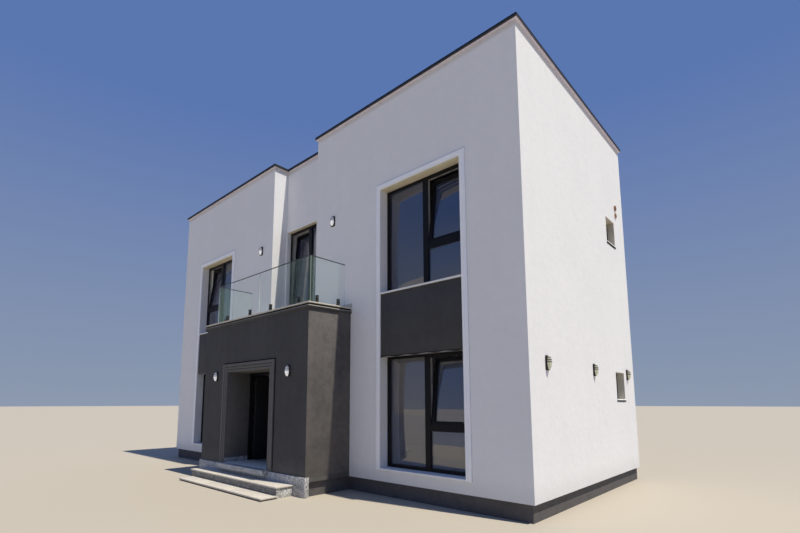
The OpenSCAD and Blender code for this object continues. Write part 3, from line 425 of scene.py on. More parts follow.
class Finish:
    """A material or a world under way, with its tree and the place that its patterns read."""

    def __init__(self, name, kind="materials", place="Object"):
        self.owner = getattr(bpy.data, kind).new(name)
        self.owner.use_nodes = True
        self.tree = self.owner.node_tree
        self.tree.nodes.clear()
        self.place = self.add("TexCoord", {}, {}, place)

    def add(self, kind, settings, values, out=0):
        """A shader node with its settings, which may be a ramp's stops, then its values or
        links. It gives one output, where the node has any."""
        node = self.tree.nodes.new("ShaderNode" + kind)
        for key, value in settings.items():
            if key != "stops":
                setattr(node, key, value)
                continue
            for stop, (position, color) in zip(node.color_ramp.elements, value):
                stop.position, stop.color = position, color
        for key, value in values.items():
            socket = node.inputs[key]
            if isinstance(value, Wire):
                self.tree.links.new(value.socket, socket)
            elif hasattr(value, "__len__") and socket.type == "RGBA":
                socket.default_value = (*value, 1.0)[:4]
            else:
                socket.default_value = value
        return Wire(self, node.outputs[out]) if len(node.outputs) else None

    def noise(self, scale, detail=3.0, rough=0.55, stretch=None):
        """Noise at a scale, stretched by three factors where it runs along one direction."""
        at = self.place if stretch is None else self.add(
            "Mapping", {}, {"Vector": self.place, "Scale": stretch})
        return self.add("TexNoise", {}, {"Vector": at, "Scale": scale, "Detail": detail,
                                         "Roughness": rough})

    def cells(self, scale, axis):
        """One number of the colour that each cell round scattered points has of its own."""
        values = {"Vector": self.place, "Scale": scale}
        return self.add("TexVoronoi", {}, values, "Color").part(axis)

    def bump(self, height, distance, strength=1.0, under=None):
        """A Bump node on a height, over the bump that lies under it."""
        values = {"Height": height, "Distance": distance, "Strength": strength}
        if under is not None:
            values["Normal"] = under
        return self.add("Bump", {}, values)

    def done(self, **sockets):
        """Closes the finish with its Principled shader, whose sockets are named in words."""
        shader = self.add("BsdfPrincipled", {}, {
            key.replace("_", " ").title().replace("Ior", "IOR"): value
            for key, value in sockets.items()})
        self.add("OutputMaterial", {}, {"Surface": shader})
        return self.owner


def render_coat(name, base, pale, grain=1.0, foot=0.5, sheen=0.5):
    """Mineral render: clouds of tone, a fine float grain over the low waves that the hand
    leaves, faint streaks down from the top, a darker band under the coping that is painted
    shade, and a foot tinted towards a sandy tone, which is dust near the ground and painted
    light bounced up from the ground where it reaches high."""
    f = Finish(name)
    base = np.array(base)
    z = f.place.part("Z")
    clouds = f.noise(0.9, 4.0, 0.6)
    patches = f.noise(7.0, 3.0, 0.55)
    streaks = f.noise(1.0, 3.0, 0.6, (5.0, 5.0, 0.35))
    grit = f.noise(260.0, 2.0, 0.6)
    tone = (clouds * 0.45 + patches * 0.3 + streaks * 0.25).over(0.36, 0.64)
    color = (grit.over(0.6, 0.78) * 0.22).mix(tone.mix(base, pale), base * 0.55)
    # Painted shade: the wall's top is darkened and warmed under the coping, where its shade falls
    painted_coping_shade = z.over(COPING_FOOT - 0.14, COPING_FOOT - 0.03) * (0.35 + 0.4 * streaks)
    color = painted_coping_shade.mix(color, base * (0.62, 0.55, 0.52))
    # The foot is tinted towards sand: dust near the ground, and where foot reaches high, painted
    # light bounced up from the ground
    dust = (1 - z.over(0.25, 0.25 + foot)) * (0.18 + 0.3 * patches)
    color = dust.mix(color, 0.55 * base + 0.45 * np.array((0.3, 0.27, 0.23)))
    waves = f.bump(f.noise(8.0, 2.0, 0.5), 0.010 * grain, 0.45)
    under = f.bump(f.noise(46.0, 3.0, 0.6), 0.0045 * grain, 0.5, waves)
    return f.done(base_color=color, roughness=0.76 + 0.16 * grit, specular_ior_level=sheen,
                  normal=f.bump(grit, 0.0015 * grain, 0.7, under))


def smooth_plaster(name, base, pale, glow=0.0):
    """Painted moulding: nearly even paint with brush-fine relief and a little soiling. A
    glow stands for the room's light where it lies inside."""
    f = Finish(name)
    clouds = f.noise(3.0, 3.0, 0.5)
    fine = f.noise(120.0, 2.0, 0.5)
    soil = f.noise(1.0, 3.0, 0.6, (14.0, 14.0, 1.2)).over(0.55, 0.8) * 0.16
    color = soil.mix(clouds.over(0.35, 0.65).mix(base, pale), 0.7 * np.array(base))
    return f.done(base_color=color, roughness=0.5 + 0.12 * fine, specular_ior_level=0.9,
                  emission_color=(1.0, 0.97, 0.92), emission_strength=glow,
                  normal=f.bump(fine, 0.0006, 0.5))


def granite(name, ground, dark, light, rough=0.45, scale=1.0):
    """Granite: three sizes of crystals, dark mica, pale feldspar and a glassy ground."""
    f = Finish(name)
    coarse = f.cells(34.0 * scale, "Z")
    big = f.cells(90.0 * scale, "X")
    small = f.cells(210.0 * scale, "Y")
    cloud = f.noise(2.2, 3.0, 0.6)
    color = cloud.over(0.3, 0.7).mix(ground, 1.14 * np.array(ground))
    color = (coarse.over(0.5, 0.9) * 0.45).mix(color, light)
    color = ((1 - coarse).over(0.6, 0.95) * 0.5).mix(color, dark)
    color = (big.over(0.55, 0.75) * 0.75).mix(color, light)
    color = (small.over(0.74, 0.82) * 0.9).mix(color, dark)
    color = (big.over(0.2, 0.05) * 0.6).mix(color, dark)
    worn = f.noise(14.0, 2.0, 0.5)
    return f.done(base_color=color, roughness=rough + 0.14 * worn - 0.1 * small,
                  normal=f.bump(big + small, 0.0004, 0.5))


def profile_foil(name, base, sheen_base):
    """Foiled window profile: a fine embossed grain along it and faint scuffs."""
    f = Finish(name)
    grain = f.noise(1.0, 4.0, 0.65, (420.0, 420.0, 26.0))
    scuff = f.noise(9.0, 3.0, 0.6)
    color = (grain * 0.6 + scuff * 0.4).over(0.35, 0.7).mix(base, sheen_base)
    return f.done(base_color=color, roughness=0.36 + 0.16 * scuff, specular_ior_level=0.18,
                  normal=f.bump(grain, 0.0003, 0.5))


def coated_metal(name, base, worn, rough=0.42, metal=0.0, streak=(1.0, 1.0, 1.0), gloss=0.5):
    """Powder-coated or plain metal: orange-peel relief and a film of dust on it."""
    f = Finish(name)
    peel = f.noise(340.0, 2.0, 0.5)
    film = f.noise(6.0, 4.0, 0.6, streak)
    color = film.over(0.4, 0.75).mix(base, worn)
    return f.done(base_color=color, metallic=metal, roughness=rough + 0.18 * film,
                  specular_ior_level=gloss, normal=f.bump(peel, 0.0002, 0.4))


def window_pane(name, base, film_color, clear):
    """Coated double glazing: a dark body that lets part of the light through, and a film of
    dust."""
    f = Finish(name)
    film = f.noise(2.4, 4.0, 0.6)
    edge = f.noise(1.0, 2.0, 0.5, (3.0, 3.0, 0.6))
    dust = film.over(0.45, 0.8) * 0.25
    color = dust.mix(base, film_color)
    return f.done(base_color=color, roughness=0.015 + 0.03 * film, alpha=clear + 0.04 * dust,
                  coat_weight=1.0, coat_roughness=0.01, coat_ior=2.2, ior=2.2,
                  specular_ior_level=0.6, normal=f.bump(edge, 0.0008, 0.12))


def rail_sheet(name, base, alpha):
    """Laminated balustrade glass: pale green, with a trace of rain marks."""
    f = Finish(name)
    marks = f.noise(1.0, 4.0, 0.65, (30.0, 30.0, 2.0))
    color = marks.over(0.5, 0.8).mix(base, 1.25 * np.array(base))
    return f.done(base_color=color, roughness=0.02 + 0.05 * marks,
                  alpha=alpha + 0.06 * marks.over(0.5, 0.9), ior=1.5,
                  normal=f.bump(marks, 0.0004, 0.1))


def glowing_opal(name, base, glow):
    """Opal lamp glass: satin, with a faint glow of painted light."""
    f = Finish(name)
    ripple = f.noise(60.0, 2.0, 0.5)
    return f.done(base_color=ripple.mix(base, 0.92 * np.array(base)),
                  roughness=0.16 + 0.1 * ripple, coat_weight=0.6, emission_color=(1.0, 1.0, 1.0),
                  emission_strength=glow, normal=f.bump(ripple, 0.0004, 0.2))


white_render = render_coat("white_render", (0.77, 0.78, 0.80), (0.80, 0.81, 0.83), foot=0.4)
dark_render = render_coat("dark_render", (0.028, 0.028, 0.031), (0.042, 0.042, 0.045), sheen=0.9)
# Paler copy of the dark render for the porch's sunny side: painted sunlight, and its 3 m foot is
# painted light bounced from the ground
sunlit_painted_render = render_coat("sunlit_painted_render", (0.04, 0.036, 0.0365), (0.096, 0.0865, 0.085),
                             foot=3.0, sheen=1.0)
cornice_render = render_coat("cornice_render", (0.033, 0.033, 0.037),
                             (0.05, 0.05, 0.053), 0.6, sheen=0.8)
# Paler copy of the cornice's render for its lip where it faces up: painted sunlight
painted_sunlit_lip = render_coat("painted_sunlit_lip", (0.2, 0.19, 0.18), (0.26, 0.25, 0.23), 0.6)
surround_paint = render_coat("surround_paint", (0.082, 0.08, 0.08), (0.108, 0.105, 0.103), 0.5,
                             sheen=1.0)
plinth_render = render_coat("plinth_render", (0.042, 0.041, 0.05), (0.068, 0.066, 0.076),
                            1.8, 0.3)
trim_paint = smooth_plaster("trim_paint", (0.91, 0.93, 0.985), (0.94, 0.955, 0.99))
# Greyer, pinker paint for the coping board: painted shade under the coping
painted_shade_soffit = smooth_plaster("painted_shade_soffit", (0.67, 0.63, 0.75), (0.71, 0.67, 0.79))
# Warm pale paint for heads: painted light bounced up from the sunlit ground
painted_bounce_plaster = smooth_plaster("painted_bounce_plaster", (0.70, 0.63, 0.46), (0.76, 0.69, 0.52))
# Darker, warmer paint for the side windows' reveals: painted shade
painted_shade_reveal = smooth_plaster("painted_shade_reveal", (0.53, 0.50, 0.42), (0.59, 0.56, 0.48))
# Glows faintly: painted room light inside the windows
glowing_inner_plaster = smooth_plaster("glowing_inner_plaster", (0.86, 0.85, 0.83), (0.9, 0.89, 0.87), 0.12)
# Darker band above the bays' heads: dust and painted shade
dust_and_painted_shade = smooth_plaster("dust_and_painted_shade", (0.26, 0.285, 0.36), (0.32, 0.345, 0.42))
# Grey-blue paint for the strips along the trims' outer edges
grey_edge_strip = smooth_plaster("grey_edge_strip", (0.42, 0.43, 0.48), (0.48, 0.49, 0.53))
# Near black, put where shade falls: painted shade in the cornice's quirk, in and round the
# doorway's surround, and under the side sills' noses, where it is partly a dark bed
painted_shade_near_black = render_coat("painted_shade_near_black", (0.006, 0.006, 0.007), (0.012, 0.012, 0.013), 0.5,
                         sheen=0.1)
# Near-black bed: mortar in the joints, and painted shade where it shows under the steps' noses
mortar_and_painted_shade = smooth_plaster("mortar_and_painted_shade", (0.05, 0.045, 0.05), (0.085, 0.08, 0.085))
pale_stone = granite("pale_stone", (0.56, 0.52, 0.45), (0.36, 0.33, 0.29), (0.66, 0.63, 0.57),
                     0.5, 1.5)
grey_granite = granite("grey_granite", (0.38, 0.385, 0.395), (0.04, 0.04, 0.045),
                       (0.8, 0.8, 0.8))
# Darker copy of granite for the riser's front: painted shade
riser_granite_painted_shade = granite("riser_granite_painted_shade", (0.11, 0.11, 0.115), (0.02, 0.02, 0.022),
                       (0.34, 0.34, 0.34), 0.5, 0.8)
salt_granite = granite("salt_granite", (0.52, 0.52, 0.51), (0.02, 0.02, 0.022),
                       (0.88, 0.88, 0.86), 0.5, 0.8)
porch_stone = granite("porch_stone", (0.90, 0.82, 0.70), (0.56, 0.52, 0.45),
                      (0.94, 0.89, 0.80), 0.45)
inner_floor = granite("inner_floor", (0.42, 0.40, 0.37), (0.25, 0.23, 0.21),
                      (0.52, 0.5, 0.47), 0.35, 0.6)
deck_membrane = render_coat("deck_membrane", (0.2, 0.2, 0.2), (0.27, 0.265, 0.26), 0.8)
anthracite_foil = profile_foil("anthracite_foil", (0.004, 0.004, 0.006), (0.009, 0.009, 0.012))
pale_core = profile_foil("pale_core", (0.30, 0.29, 0.285), (0.38, 0.37, 0.36))
door_skin = profile_foil("door_skin", (0.016, 0.017, 0.02), (0.026, 0.027, 0.031))
gasket = coated_metal("gasket", (0.006, 0.006, 0.006), (0.015, 0.015, 0.015), 0.6)
coping_sheet = coated_metal("coping_sheet", (0.008, 0.011, 0.013), (0.022, 0.027, 0.03), 0.38,
                            gloss=0.25)
# Paler lower lip of the coping sheet: painted reflection of the ground
painted_reflection_lip = coated_metal("painted_reflection_lip", (0.055, 0.047, 0.04), (0.075, 0.064, 0.055), 0.5,
                          gloss=0.3)
cap_metal = coated_metal("cap_metal", (0.03, 0.031, 0.034), (0.06, 0.06, 0.06), 0.3)
black_metal = coated_metal("black_metal", (0.006, 0.006, 0.007), (0.018, 0.018, 0.019), 0.55)
steel = coated_metal("steel", (0.42, 0.41, 0.40), (0.3, 0.29, 0.28), 0.3, 1.0,
                     (1.0, 1.0, 30.0))
spacer_bar = coated_metal("spacer_bar", (0.20, 0.21, 0.23), (0.3, 0.31, 0.32), 0.35, 0.6)
sill_sheet = coated_metal("sill_sheet", (0.86, 0.87, 0.89), (0.78, 0.78, 0.78), 0.4)
vent_plastic = coated_metal("vent_plastic", (0.33, 0.2, 0.12), (0.42, 0.3, 0.2), 0.55)
bay_glass = window_pane("bay_glass", (0.022, 0.026, 0.07), (0.05, 0.055, 0.09), 0.4)
rail_glass = rail_sheet("rail_glass", (0.40, 0.61, 0.52), 0.062)
rail_edge = rail_sheet("rail_edge", (0.48, 0.58, 0.54), 0.45)
# The front lamps' glass glows faintly, which is painted light
lamp_opal = glowing_opal("lamp_opal", (0.9, 0.9, 0.92), 0.3)
lamp_prism = glowing_opal("lamp_prism", (0.75, 0.76, 0.8), 0.14)
# Darker copies without the glow for the sunlit side lamps: painted shade
sunlit_dimmed_glass = glowing_opal("sunlit_dimmed_glass", (0.72, 0.73, 0.53), 0.0)
sunlit_dimmed_prism = glowing_opal("sunlit_dimmed_prism", (0.52, 0.52, 0.38), 0.0)

dress(white_render, "middle_wall", "back_wall", *[
    f"{side}_{wall}_wall" for side in BAY_X for wall in ("front", "return", "side")])
dress(dark_render, "porch_lintel", *[
    f"porch_{side}_{wall}" for side in BAY_X for wall in ("front", "side")])
dress(plinth_render, "plinth")
# Coping board in the greyer paint: painted shade under the coping
dress(painted_shade_soffit, "coping_board")
dress(inner_floor, "ground_floor", "upper_floor")
dress(deck_membrane, "roof_deck")
dress(vent_plastic, "vents")
WINDOW_SET = (anthracite_foil, pale_core, gasket, spacer_bar)


# Window bays
def strip(near, far, start, end):
    """The outline of a flat strip, near to far one way and start to end the other way."""
    return (near, start), (far, start), (far, end), (near, end)


def inner(span, inset):
    """A span made shorter at both ends."""
    return span[0] + inset, span[1] - inset


def about(middle, half):
    """A span about its middle."""
    return middle - half, middle + half


def framed(x, z, face, *runs, closed=True):
    """Profiles carried round an opening seen from the front, or only up one side, across its
    head and down the other. Each run is a kind and a profile, whose first number goes into
    the opening from its edges and whose second goes in from the face."""
    path = [(x[a], face, z[b]) for a, b in ((1, 0), (1, 1), (0, 1), (0, 0))]
    return together(*[carried(profile, path, INWARD, closed, kind) for kind, profile in runs])


def moulding(x, z, face, *runs):
    """Profiles carried up one side of an opening, across its head and down the other. Their
    first number goes away from the opening, and their second comes out of the face."""
    runs = [(kind, -np.array(profile)) for kind, profile in runs]
    return framed(x, z, face, *runs, closed=False)


def glazing(x, z, face, glass=PANE_FRONT, back=FRAME_D):
    """What holds a pane in an opening: sloping beads in front and behind, their gaskets,
    and the spacer bar between the pane's two sheets."""
    pane_back = glass + 2 * SHEET_T + SHEET_GAP
    lip = 0.003
    return framed(
        x, z, face,
        (0, ((-0.001, lip), (0.002, lip), (0.007, glass - lip), (-0.001, glass - lip))),
        (2, strip(-0.001, 0.009, glass - lip, glass)),
        (3, strip(-0.004, 0.006, glass + SHEET_T, pane_back - SHEET_T)),
        (2, strip(-0.001, 0.009, pane_back, pane_back + lip)),
        (0, ((-0.001, pane_back + lip), (0.012, pane_back + lip), (0.003, back - lip),
             (-0.001, back - lip))))


def pane(x, z, face, glass=PANE_FRONT):
    """The two sheets of a sealed pane, which reach past its opening into the frame."""
    return together(*[block(inner(x, -PANE_LAP), (y, y + SHEET_T), inner(z, -PANE_LAP), 0.001)
                      for y in (face + glass, face + glass + SHEET_T + SHEET_GAP)])


def leaf(x, z, face):
    """A glazed leaf as it stands closed: its mitred frame with the bare core round its rim,
    and what holds its pane. The face lies at the front of the window frame."""
    front, back = STOP_D, STOP_D + SASH_D
    profile = eased(((0, front), (SASH_W - 0.004, front), (SASH_W, front + 0.008),
                     (SASH_W, back - 0.008), (SASH_W - 0.004, back), (0, back)), 0.0025)
    return together(
        framed(x, z, face, (0, profile), (1, strip(-0.001, 0.001, front + 0.012, back - 0.004)),
               (2, strip(0.012, 0.016, front - 0.002, front + 0.001))),
        glazing(inner(x, SASH_W), inner(z, SASH_W), face, SASH_GLASS, back))


def leaf_pane(x, z, face):
    """The sealed pane of a leaf."""
    return pane(inner(x, SASH_W), inner(z, SASH_W), face, SASH_GLASS)


def bay_lights(low, high):
    """The openings of a bay's window: the tall fixed light, the low one and the leaf's."""
    return (((LIGHT_LEFT, MULLION_LEFT), (low + FRAME_W, high - HEAD_W)),
            ((MULLION_RIGHT, LIGHT_RIGHT), (low + FRAME_W, low + TRANSOM_LOW)),
            ((MULLION_RIGHT, LIGHT_RIGHT), (low + TRANSOM_HIGH, high - FRAME_W)))


def casing(x, z, face, lights, leaf_light):
    """A window frame cut by its fixed lights and by the stepped opening of its leaf, with
    what holds the fixed panes. The leaf closes into a rebate that shows the bare core, and
    its stop has a gasket."""
    cuts = [box(across, THROUGH, upright, False) for across, upright in lights]
    across, upright = leaf_light
    cuts += [box(across, (face + STOP_D, THROUGH[1]), upright, False),
             box(inner(across, STOP_W), THROUGH, inner(upright, STOP_W), False)]
    return together(
        fretted(box(x, (face, face + FRAME_D), z), *cuts),
        framed(across, upright, face, (1, strip(0, 0.002, STOP_D + 0.004, FRAME_D - 0.002)),
               (2, strip(0.002, STOP_W + 0.002, STOP_D - 0.001, STOP_D + 0.003))),
        *[glazing(*light, face) for light in lights])


def bay_casing(low, high):
    """The frame of one window of a bay."""
    tall, short, opening = bay_lights(low, high)
    return casing(BAY_EDGES, (low, high), FRAME_Y, (tall, short), opening)


def bay_leaf_place(low, high):
    """Where the leaf of one window of a bay stands when it is closed."""
    x, (foot, top) = bay_lights(low, high)[2]
    return inner(x, SASH_GAP), (foot, top - SASH_GAP), FRAME_Y


def tilt_bay(form, low, angle):
    """A leaf's form turned about the line at its lower inner edge."""
    return tipped(form, FRAME_Y + FRAME_D, low + TRANSOM_HIGH, angle)


def reveal_linings(low, high):
    """Thin skins of plaster: one under the head outside the frame, warm and pale as painted
    light bounced up from the ground, but dark where it lies under the spandrel, and one round
    the four sides of the opening inside it, which glows faintly as painted room light."""
    skin = 0.002
    return together(
        block(BAY_EDGES, (FRONT_Y + 0.001, FRAME_Y), (high - skin, high + 0.0005), 0.0004,
              2 if high < UPPER_Z else 0),
        framed(BAY_EDGES, (low, high), FRAME_Y,
               (1, strip(-0.0005, skin, FRAME_D, INNER_DEPTH - 0.001))))


def locking_pins(low, high):
    """Two steel rollers on the leaf's top edge, their keeps under the frame's head, and two
    more keeps on the mullion's side of the opening."""
    x, z, face = bay_leaf_place(low, high)
    keep, roller = (face + 0.034, face + 0.058), (face + 0.04, face + 0.052)
    side, head = x[0] - SASH_GAP, z[1] + SASH_GAP
    parts = []
    for share in (0.3, 0.66):
        at, level = (a + share * (b - a) for a, b in (x, z))
        pin = block(about(at, 0.006), roller, (z[1] - 0.002, z[1] + 0.008), 0.002)
        parts += [tilt_bay(pin, low, SASH_TILT),
                  block(about(at, 0.03), keep, (head - 0.005, head + 0.002), 0.001),
                  block((side - 0.002, side + 0.0035), keep, about(level, 0.03), 0.001)]
    return together(*parts)


def profiles(name, form, *replaces, soft=0):
    """A piece of window profiles."""
    piece(name, "anthracite_profile", form, WINDOW_SET, *replaces, soft=soft)


def panes(name, form, *replaces):
    """A piece of window glass."""
    piece(name, "window_glass", form, (bay_glass,), *replaces)


for back, angle, group in ((False, SASH_TILT, "front"), (True, 0.0, "back")):
    profiles(f"{group}_window_casings", all_bays(bay_casing, back), f"{group}_window_frames",
             soft=FRAME_EASE)
    profiles(f"{group}_window_leaves", all_bays(lambda low, high: tilt_bay(
        leaf(*bay_leaf_place(low, high)), low, angle), back), f"{group}_sashes")
    panes(f"{group}_window_panes", all_bays(lambda low, high: together(
        *[pane(*light, FRAME_Y) for light in bay_lights(low, high)[:2]],
        tilt_bay(leaf_pane(*bay_leaf_place(low, high)), low, angle)), back),
        f"{group}_window_glass")
piece("reveal_linings", "white_render", all_bays(reveal_linings),
      (painted_bounce_plaster, glowing_inner_plaster, surround_paint))
piece("leaf_locking_pins", "steel", all_bays(locking_pins), (steel,))


def bay_trim():
    """The raised trim of a bay: a flat band with eased arrises and a groove with sloping
    sides, a grey strip along its outer edge, and a darker band on the wall above its head,
    which is dust and painted shade."""
    t, w, g = TRIM_T, TRIM_W, TRIM_GROOVE
    z = (STOREYS[0][0] - SILL_T, STOREYS[1][1])
    profile = ((0.0, -0.002), (0.0, t - 0.004), (0.004, t), (g[0] - 0.003, t), (g[0], t - 0.002),
               (g[0] + 0.002, t - 0.01), (g[1] - 0.002, t - 0.01), (g[1], t - 0.002),
               (g[1] + 0.003, t), (w - 0.006, t), (w - 0.0015, t - 0.002), (w, t - 0.007),
               (w, -0.002))
    # A grey-blue strip along the trim's outer edge
    joint = strip(w - 0.001, w + 0.005, -0.002, 0.0015)
    # A darker band on the wall above the head: dust and painted shade
    dust = -np.array(strip(w + 0.004, w + 0.026, -0.002, 0.0006))
    ends = [(x, FRONT_Y, z[1]) for x in (BAY_HALF + w, -BAY_HALF - w)]
    return together(moulding(BAY_EDGES, z, FRONT_Y, (0, profile), (1, joint)),
                    carried(dust, ends, INWARD, kind=2))


def bay_sill(low):
    """A sill: it falls from the frame to its nose, which is eased, and has a drip groove."""
    n, t = SILL_OUT, SILL_T
    profile = ((FRONT_Y - FRAME_Y, -0.002), (FRONT_Y - FRAME_Y, 0.009), (n - 0.004, 0),
               (n - 0.001, -0.001), (n, -0.004), (n, -t + 0.003), (n - 0.003, -t),
               (n - 0.010, -t), (n - 0.011, -t + 0.004), (n - 0.016, -t + 0.004),
               (n - 0.017, -t), (0, -t), (-0.001, -0.002))
    return along(profile, BAY_EDGES, FRONT_Y, low)


def bay_spandrel():
    """The panel between the storeys with eased edges in its dark joint, and the pale drip
    bead along its foot."""
    foot, top, gap = STOREYS[0][1], STOREYS[1][0] - SILL_T, SPANDREL_JOINT
    bead = eased(((-0.012, 0), (0.003, -0.002), (0.003, 0.004), (-0.012, 0.004)), 0.001)
    return together(
        block(inner(BAY_EDGES, gap), (FRONT_Y, FRONT_Y + SPANDREL_T), (foot + gap, top)),
        block(BAY_EDGES, (FRONT_Y + 0.006, FRONT_Y + 0.02), (foot, top), 0.001, 1),
        along(bead, BAY_EDGES, FRONT_Y, foot, 2))


piece("bay_trims", "trim_white", both_bays(bay_trim()), (trim_paint, grey_edge_strip, dust_and_painted_shade),
      "window_trims")
piece("bay_sills", "light_stone", both_bays(together(*[bay_sill(low) for low, high in STOREYS])),
      (sill_sheet,), "window_sills")
piece("bay_spandrels", "dark_render", both_bays(bay_spandrel()),
      (dark_render, gasket, pale_core), "spandrels")


def head_foil():
    """Black foil left over the lower window's head, with the paler tape behind it. At a share
    s of its length the foil hangs 9 - 8 cos(2 pi (s - 0.1) / 0.235) + 2 sin(8 s) mm under the
    spandrel's foot, but never less than 2 mm, so that the tape shows in a few short slits."""
    share = np.linspace(0, 1, 121)
    wave = np.cos(2 * pi * (share - 0.1) / 0.235)
    foot = STOREYS[0][1]
    x = BAY_HALF * (2 * share - 1) * 0.998
    hem = foot - np.maximum(0.009 - 0.008 * wave + 0.002 * np.sin(8 * share), 0.002)
    face = FRONT_Y - 0.0045 - 0.0015 * wave
    top = np.full_like(x, foot + 0.013)
    ring = [(x, face, top), (x, face, hem), (x, face + 0.001, hem), (x, face + 0.001, top)]
    points = np.stack([np.stack(corner, 1) for corner in ring], 1)
    return together(ringed(points),
                    along(strip(-0.0005, 0.001, -0.017, 0), x[[0, -1]], FRONT_Y, foot, 1))


piece("head_foil", "anthracite_profile", at_bay(head_foil(), "right"), (gasket, pale_core))


# Side windows
def side_windows(make):
    """What make draws for the span of a window's height, at every side window."""
    return on_sides(together(*[make((z, z + SIDE_WINDOW)) for z in SIDE_WINDOW_Z]))


def side_lining(z):
    """A thin skin of paint round the opening of a side window, in front of its frame, darker
    and warmer than the wall: painted shade.
    """
    return framed(SIDE_WINDOW_Y, z, 0.001, (0, strip(-0.0005, 0.0015, 0, SIDE_SET - 0.0015)))


def side_casing(z):
    """A fixed window: its mitred frame and what holds its pane."""
    x, w, d = SIDE_WINDOW_Y, FRAME_W, FRAME_D
    profile = eased(((0, 0), (w - 0.002, 0), (w, 0.002), (w, d), (0, d)), 0.002)
    return together(framed(x, z, SIDE_SET, (0, profile)),
                    glazing(inner(x, w), inner(z, w), SIDE_SET))


def side_sill(z):
    """A sill under a side window, a little wider than its opening: a pale nose with an eased
    edge, and the bed under it, which stands back and is near black, partly a dark bed and
    partly painted shade under the nose."""
    n, t, nose = SIDE_NOSE_OUT, SIDE_SILL_T, SIDE_NOSE_T
    profile = ((0, -nose), (0, 0), (n - 0.004, -0.003), (n, -0.007), (n, -nose + 0.003),
               (n - 0.003, -nose))
    # Near-black bed: partly a dark bed, partly painted shade under the nose
    bed = ((0, -nose), (n - 0.003, -nose), (n - 0.003, -nose - 0.004), (0.008, -nose - 0.004),
           (0.008, -t), (0, -t))
    inside = ((-SIDE_SET, -0.002), (-SIDE_SET, 0.008), (0, 0.0005), (0, -0.004))
    wide = inner(SIDE_WINDOW_Y, -SIDE_SILL_END)
    return together(along(profile, wide, 0, z[0]), along(bed, wide, 0, z[0], 1),
                    along(inside, SIDE_WINDOW_Y, 0, z[0]))


piece("side_linings", "white_render", side_windows(side_lining), (painted_shade_reveal,))
profiles("side_casings", side_windows(side_casing), "side_window_frames")
panes("side_panes", side_windows(lambda z: pane(
    inner(SIDE_WINDOW_Y, FRAME_W), inner(z, FRAME_W), SIDE_SET)), "side_window_glass")
piece("side_sills", "light_stone", side_windows(side_sill), (sill_sheet, painted_shade_near_black),
      "side_window_sills")


# Coping and roof
def wall_line(inset, middle_y, z=0):
    """The plan of the outer walls' faces, moved in by an inset, at a level: from the left
    front corner round to the left back one. The recess's wall lies at a y of its own."""
    x, y0, y1 = SIDE_X - inset, FRONT_Y + inset, BACK_Y - inset
    left, right = RECESS_LEFT - inset, RECESS_RIGHT + inset
    return [(-x, y0, z), (left, y0, z), (left, middle_y, z), (right, middle_y, z),
            (right, y0, z), (x, y0, z), (x, y1, z), (-x, y1, z)]


def cap_half(path, edge_z, middle_z):
    """One half of the coping sheet along a wall's face: a top that falls from the edge to
    the wall's middle, a face that leans out a little, and a lip that leans back in to its
    hem. The faces whose middles lie over 1 cm below the lip's start are its own, in a paler
    finish that paints the ground's reflection on them."""
    w, out, foot, t = WALL_T / 2, COPING_OUT, COPING_FOOT, 0.002
    profile = ((-w, middle_z), (out - 0.006, edge_z), (out - 0.003, edge_z - 0.002),
               (out, COPING_LIP), (out - 0.0055, foot + 0.001), (out - 0.0065, foot),
               (out - 0.0075, foot + 0.001), (out - t, COPING_LIP),
               (out - 0.003 - t, edge_z - 0.005), (-w, middle_z - t))
    points, faces, _ = carried(profile, path, closed=True)
    return points, faces, [int(points[face, 2].mean() < COPING_LIP - 0.01) for face in faces]


def cap_straps(path, edge_z, middle_z):
    """Cover straps over the joints of the coping sheet, evenly along each stretch."""
    out, proud, half, step = COPING_OUT, 0.0012, 0.04, 1.9
    profile = ((-WALL_T / 2, middle_z), (-WALL_T / 2, middle_z + proud),
               (out - 0.005, edge_z + proud), (out - 0.0015, edge_z - 0.001),
               (out - 0.0002, COPING_LIP + 0.002), (out - 0.004, COPING_LIP + 0.002),
               (out - 0.004, edge_z - 0.004))
    straps = []
    for start, end in zip(path, path[1:] + path[:1]):
        start, way = np.array(start), np.subtract(end, start)
        length = np.linalg.norm(way)
        count = round(length / step)
        for i in range(1, count):
            at, reach = start + i / count * way, half * way / length
            straps.append(carried(profile, (at - reach, at + reach)))
    return together(*straps)


def coping():
    """The coping sheet over all the outer walls with its straps, and the flat stretch over
    the thicker middle wall."""
    edge, middle, inside = TOP_Z - 0.0014, TOP_Z - 0.004, TOP_Z - 0.0065
    outer_path, inner_path = wall_line(0, RECESS_Y), wall_line(WALL_T, MIDDLE_BACK_Y)[::-1]
    bridge = block(inner((RECESS_LEFT, RECESS_RIGHT), -WALL_T / 2 - 0.02),
                   inner((RECESS_Y, MIDDLE_BACK_Y), 0.15), (middle - 0.004, middle - 0.0002),
                   0.0005)
    return together(cap_half(outer_path, edge, middle), cap_half(inner_path, inside, middle),
                    cap_straps(outer_path, edge, middle),
                    cap_straps(inner_path, inside, middle), bridge)


def deck_seams():
    """Lapped seams of the roof's membrane, and its upstand round the parapets."""
    x, back = SIDE_X - WALL_T, BACK_Y - WALL_T
    lap = ((0, -0.001), (0, 0.003), (0.08, 0.001), (0.08, -0.001))
    upstand = ((-0.001, -0.001), (-0.001, 0.2), (0.004, 0.2), (0.008, 0.195), (0.008, 0.03),
               (0.03, 0.004), (0.09, 0.001), (0.09, -0.001))
    path = wall_line(WALL_T, MIDDLE_BACK_Y, DECK_Z)[::-1]
    return together(
        *[along(lap, (-x, x), y, DECK_Z) for y in np.arange(MIDDLE_BACK_Y + 0.6, back, 1.0)],
        carried(upstand, path, closed=True))


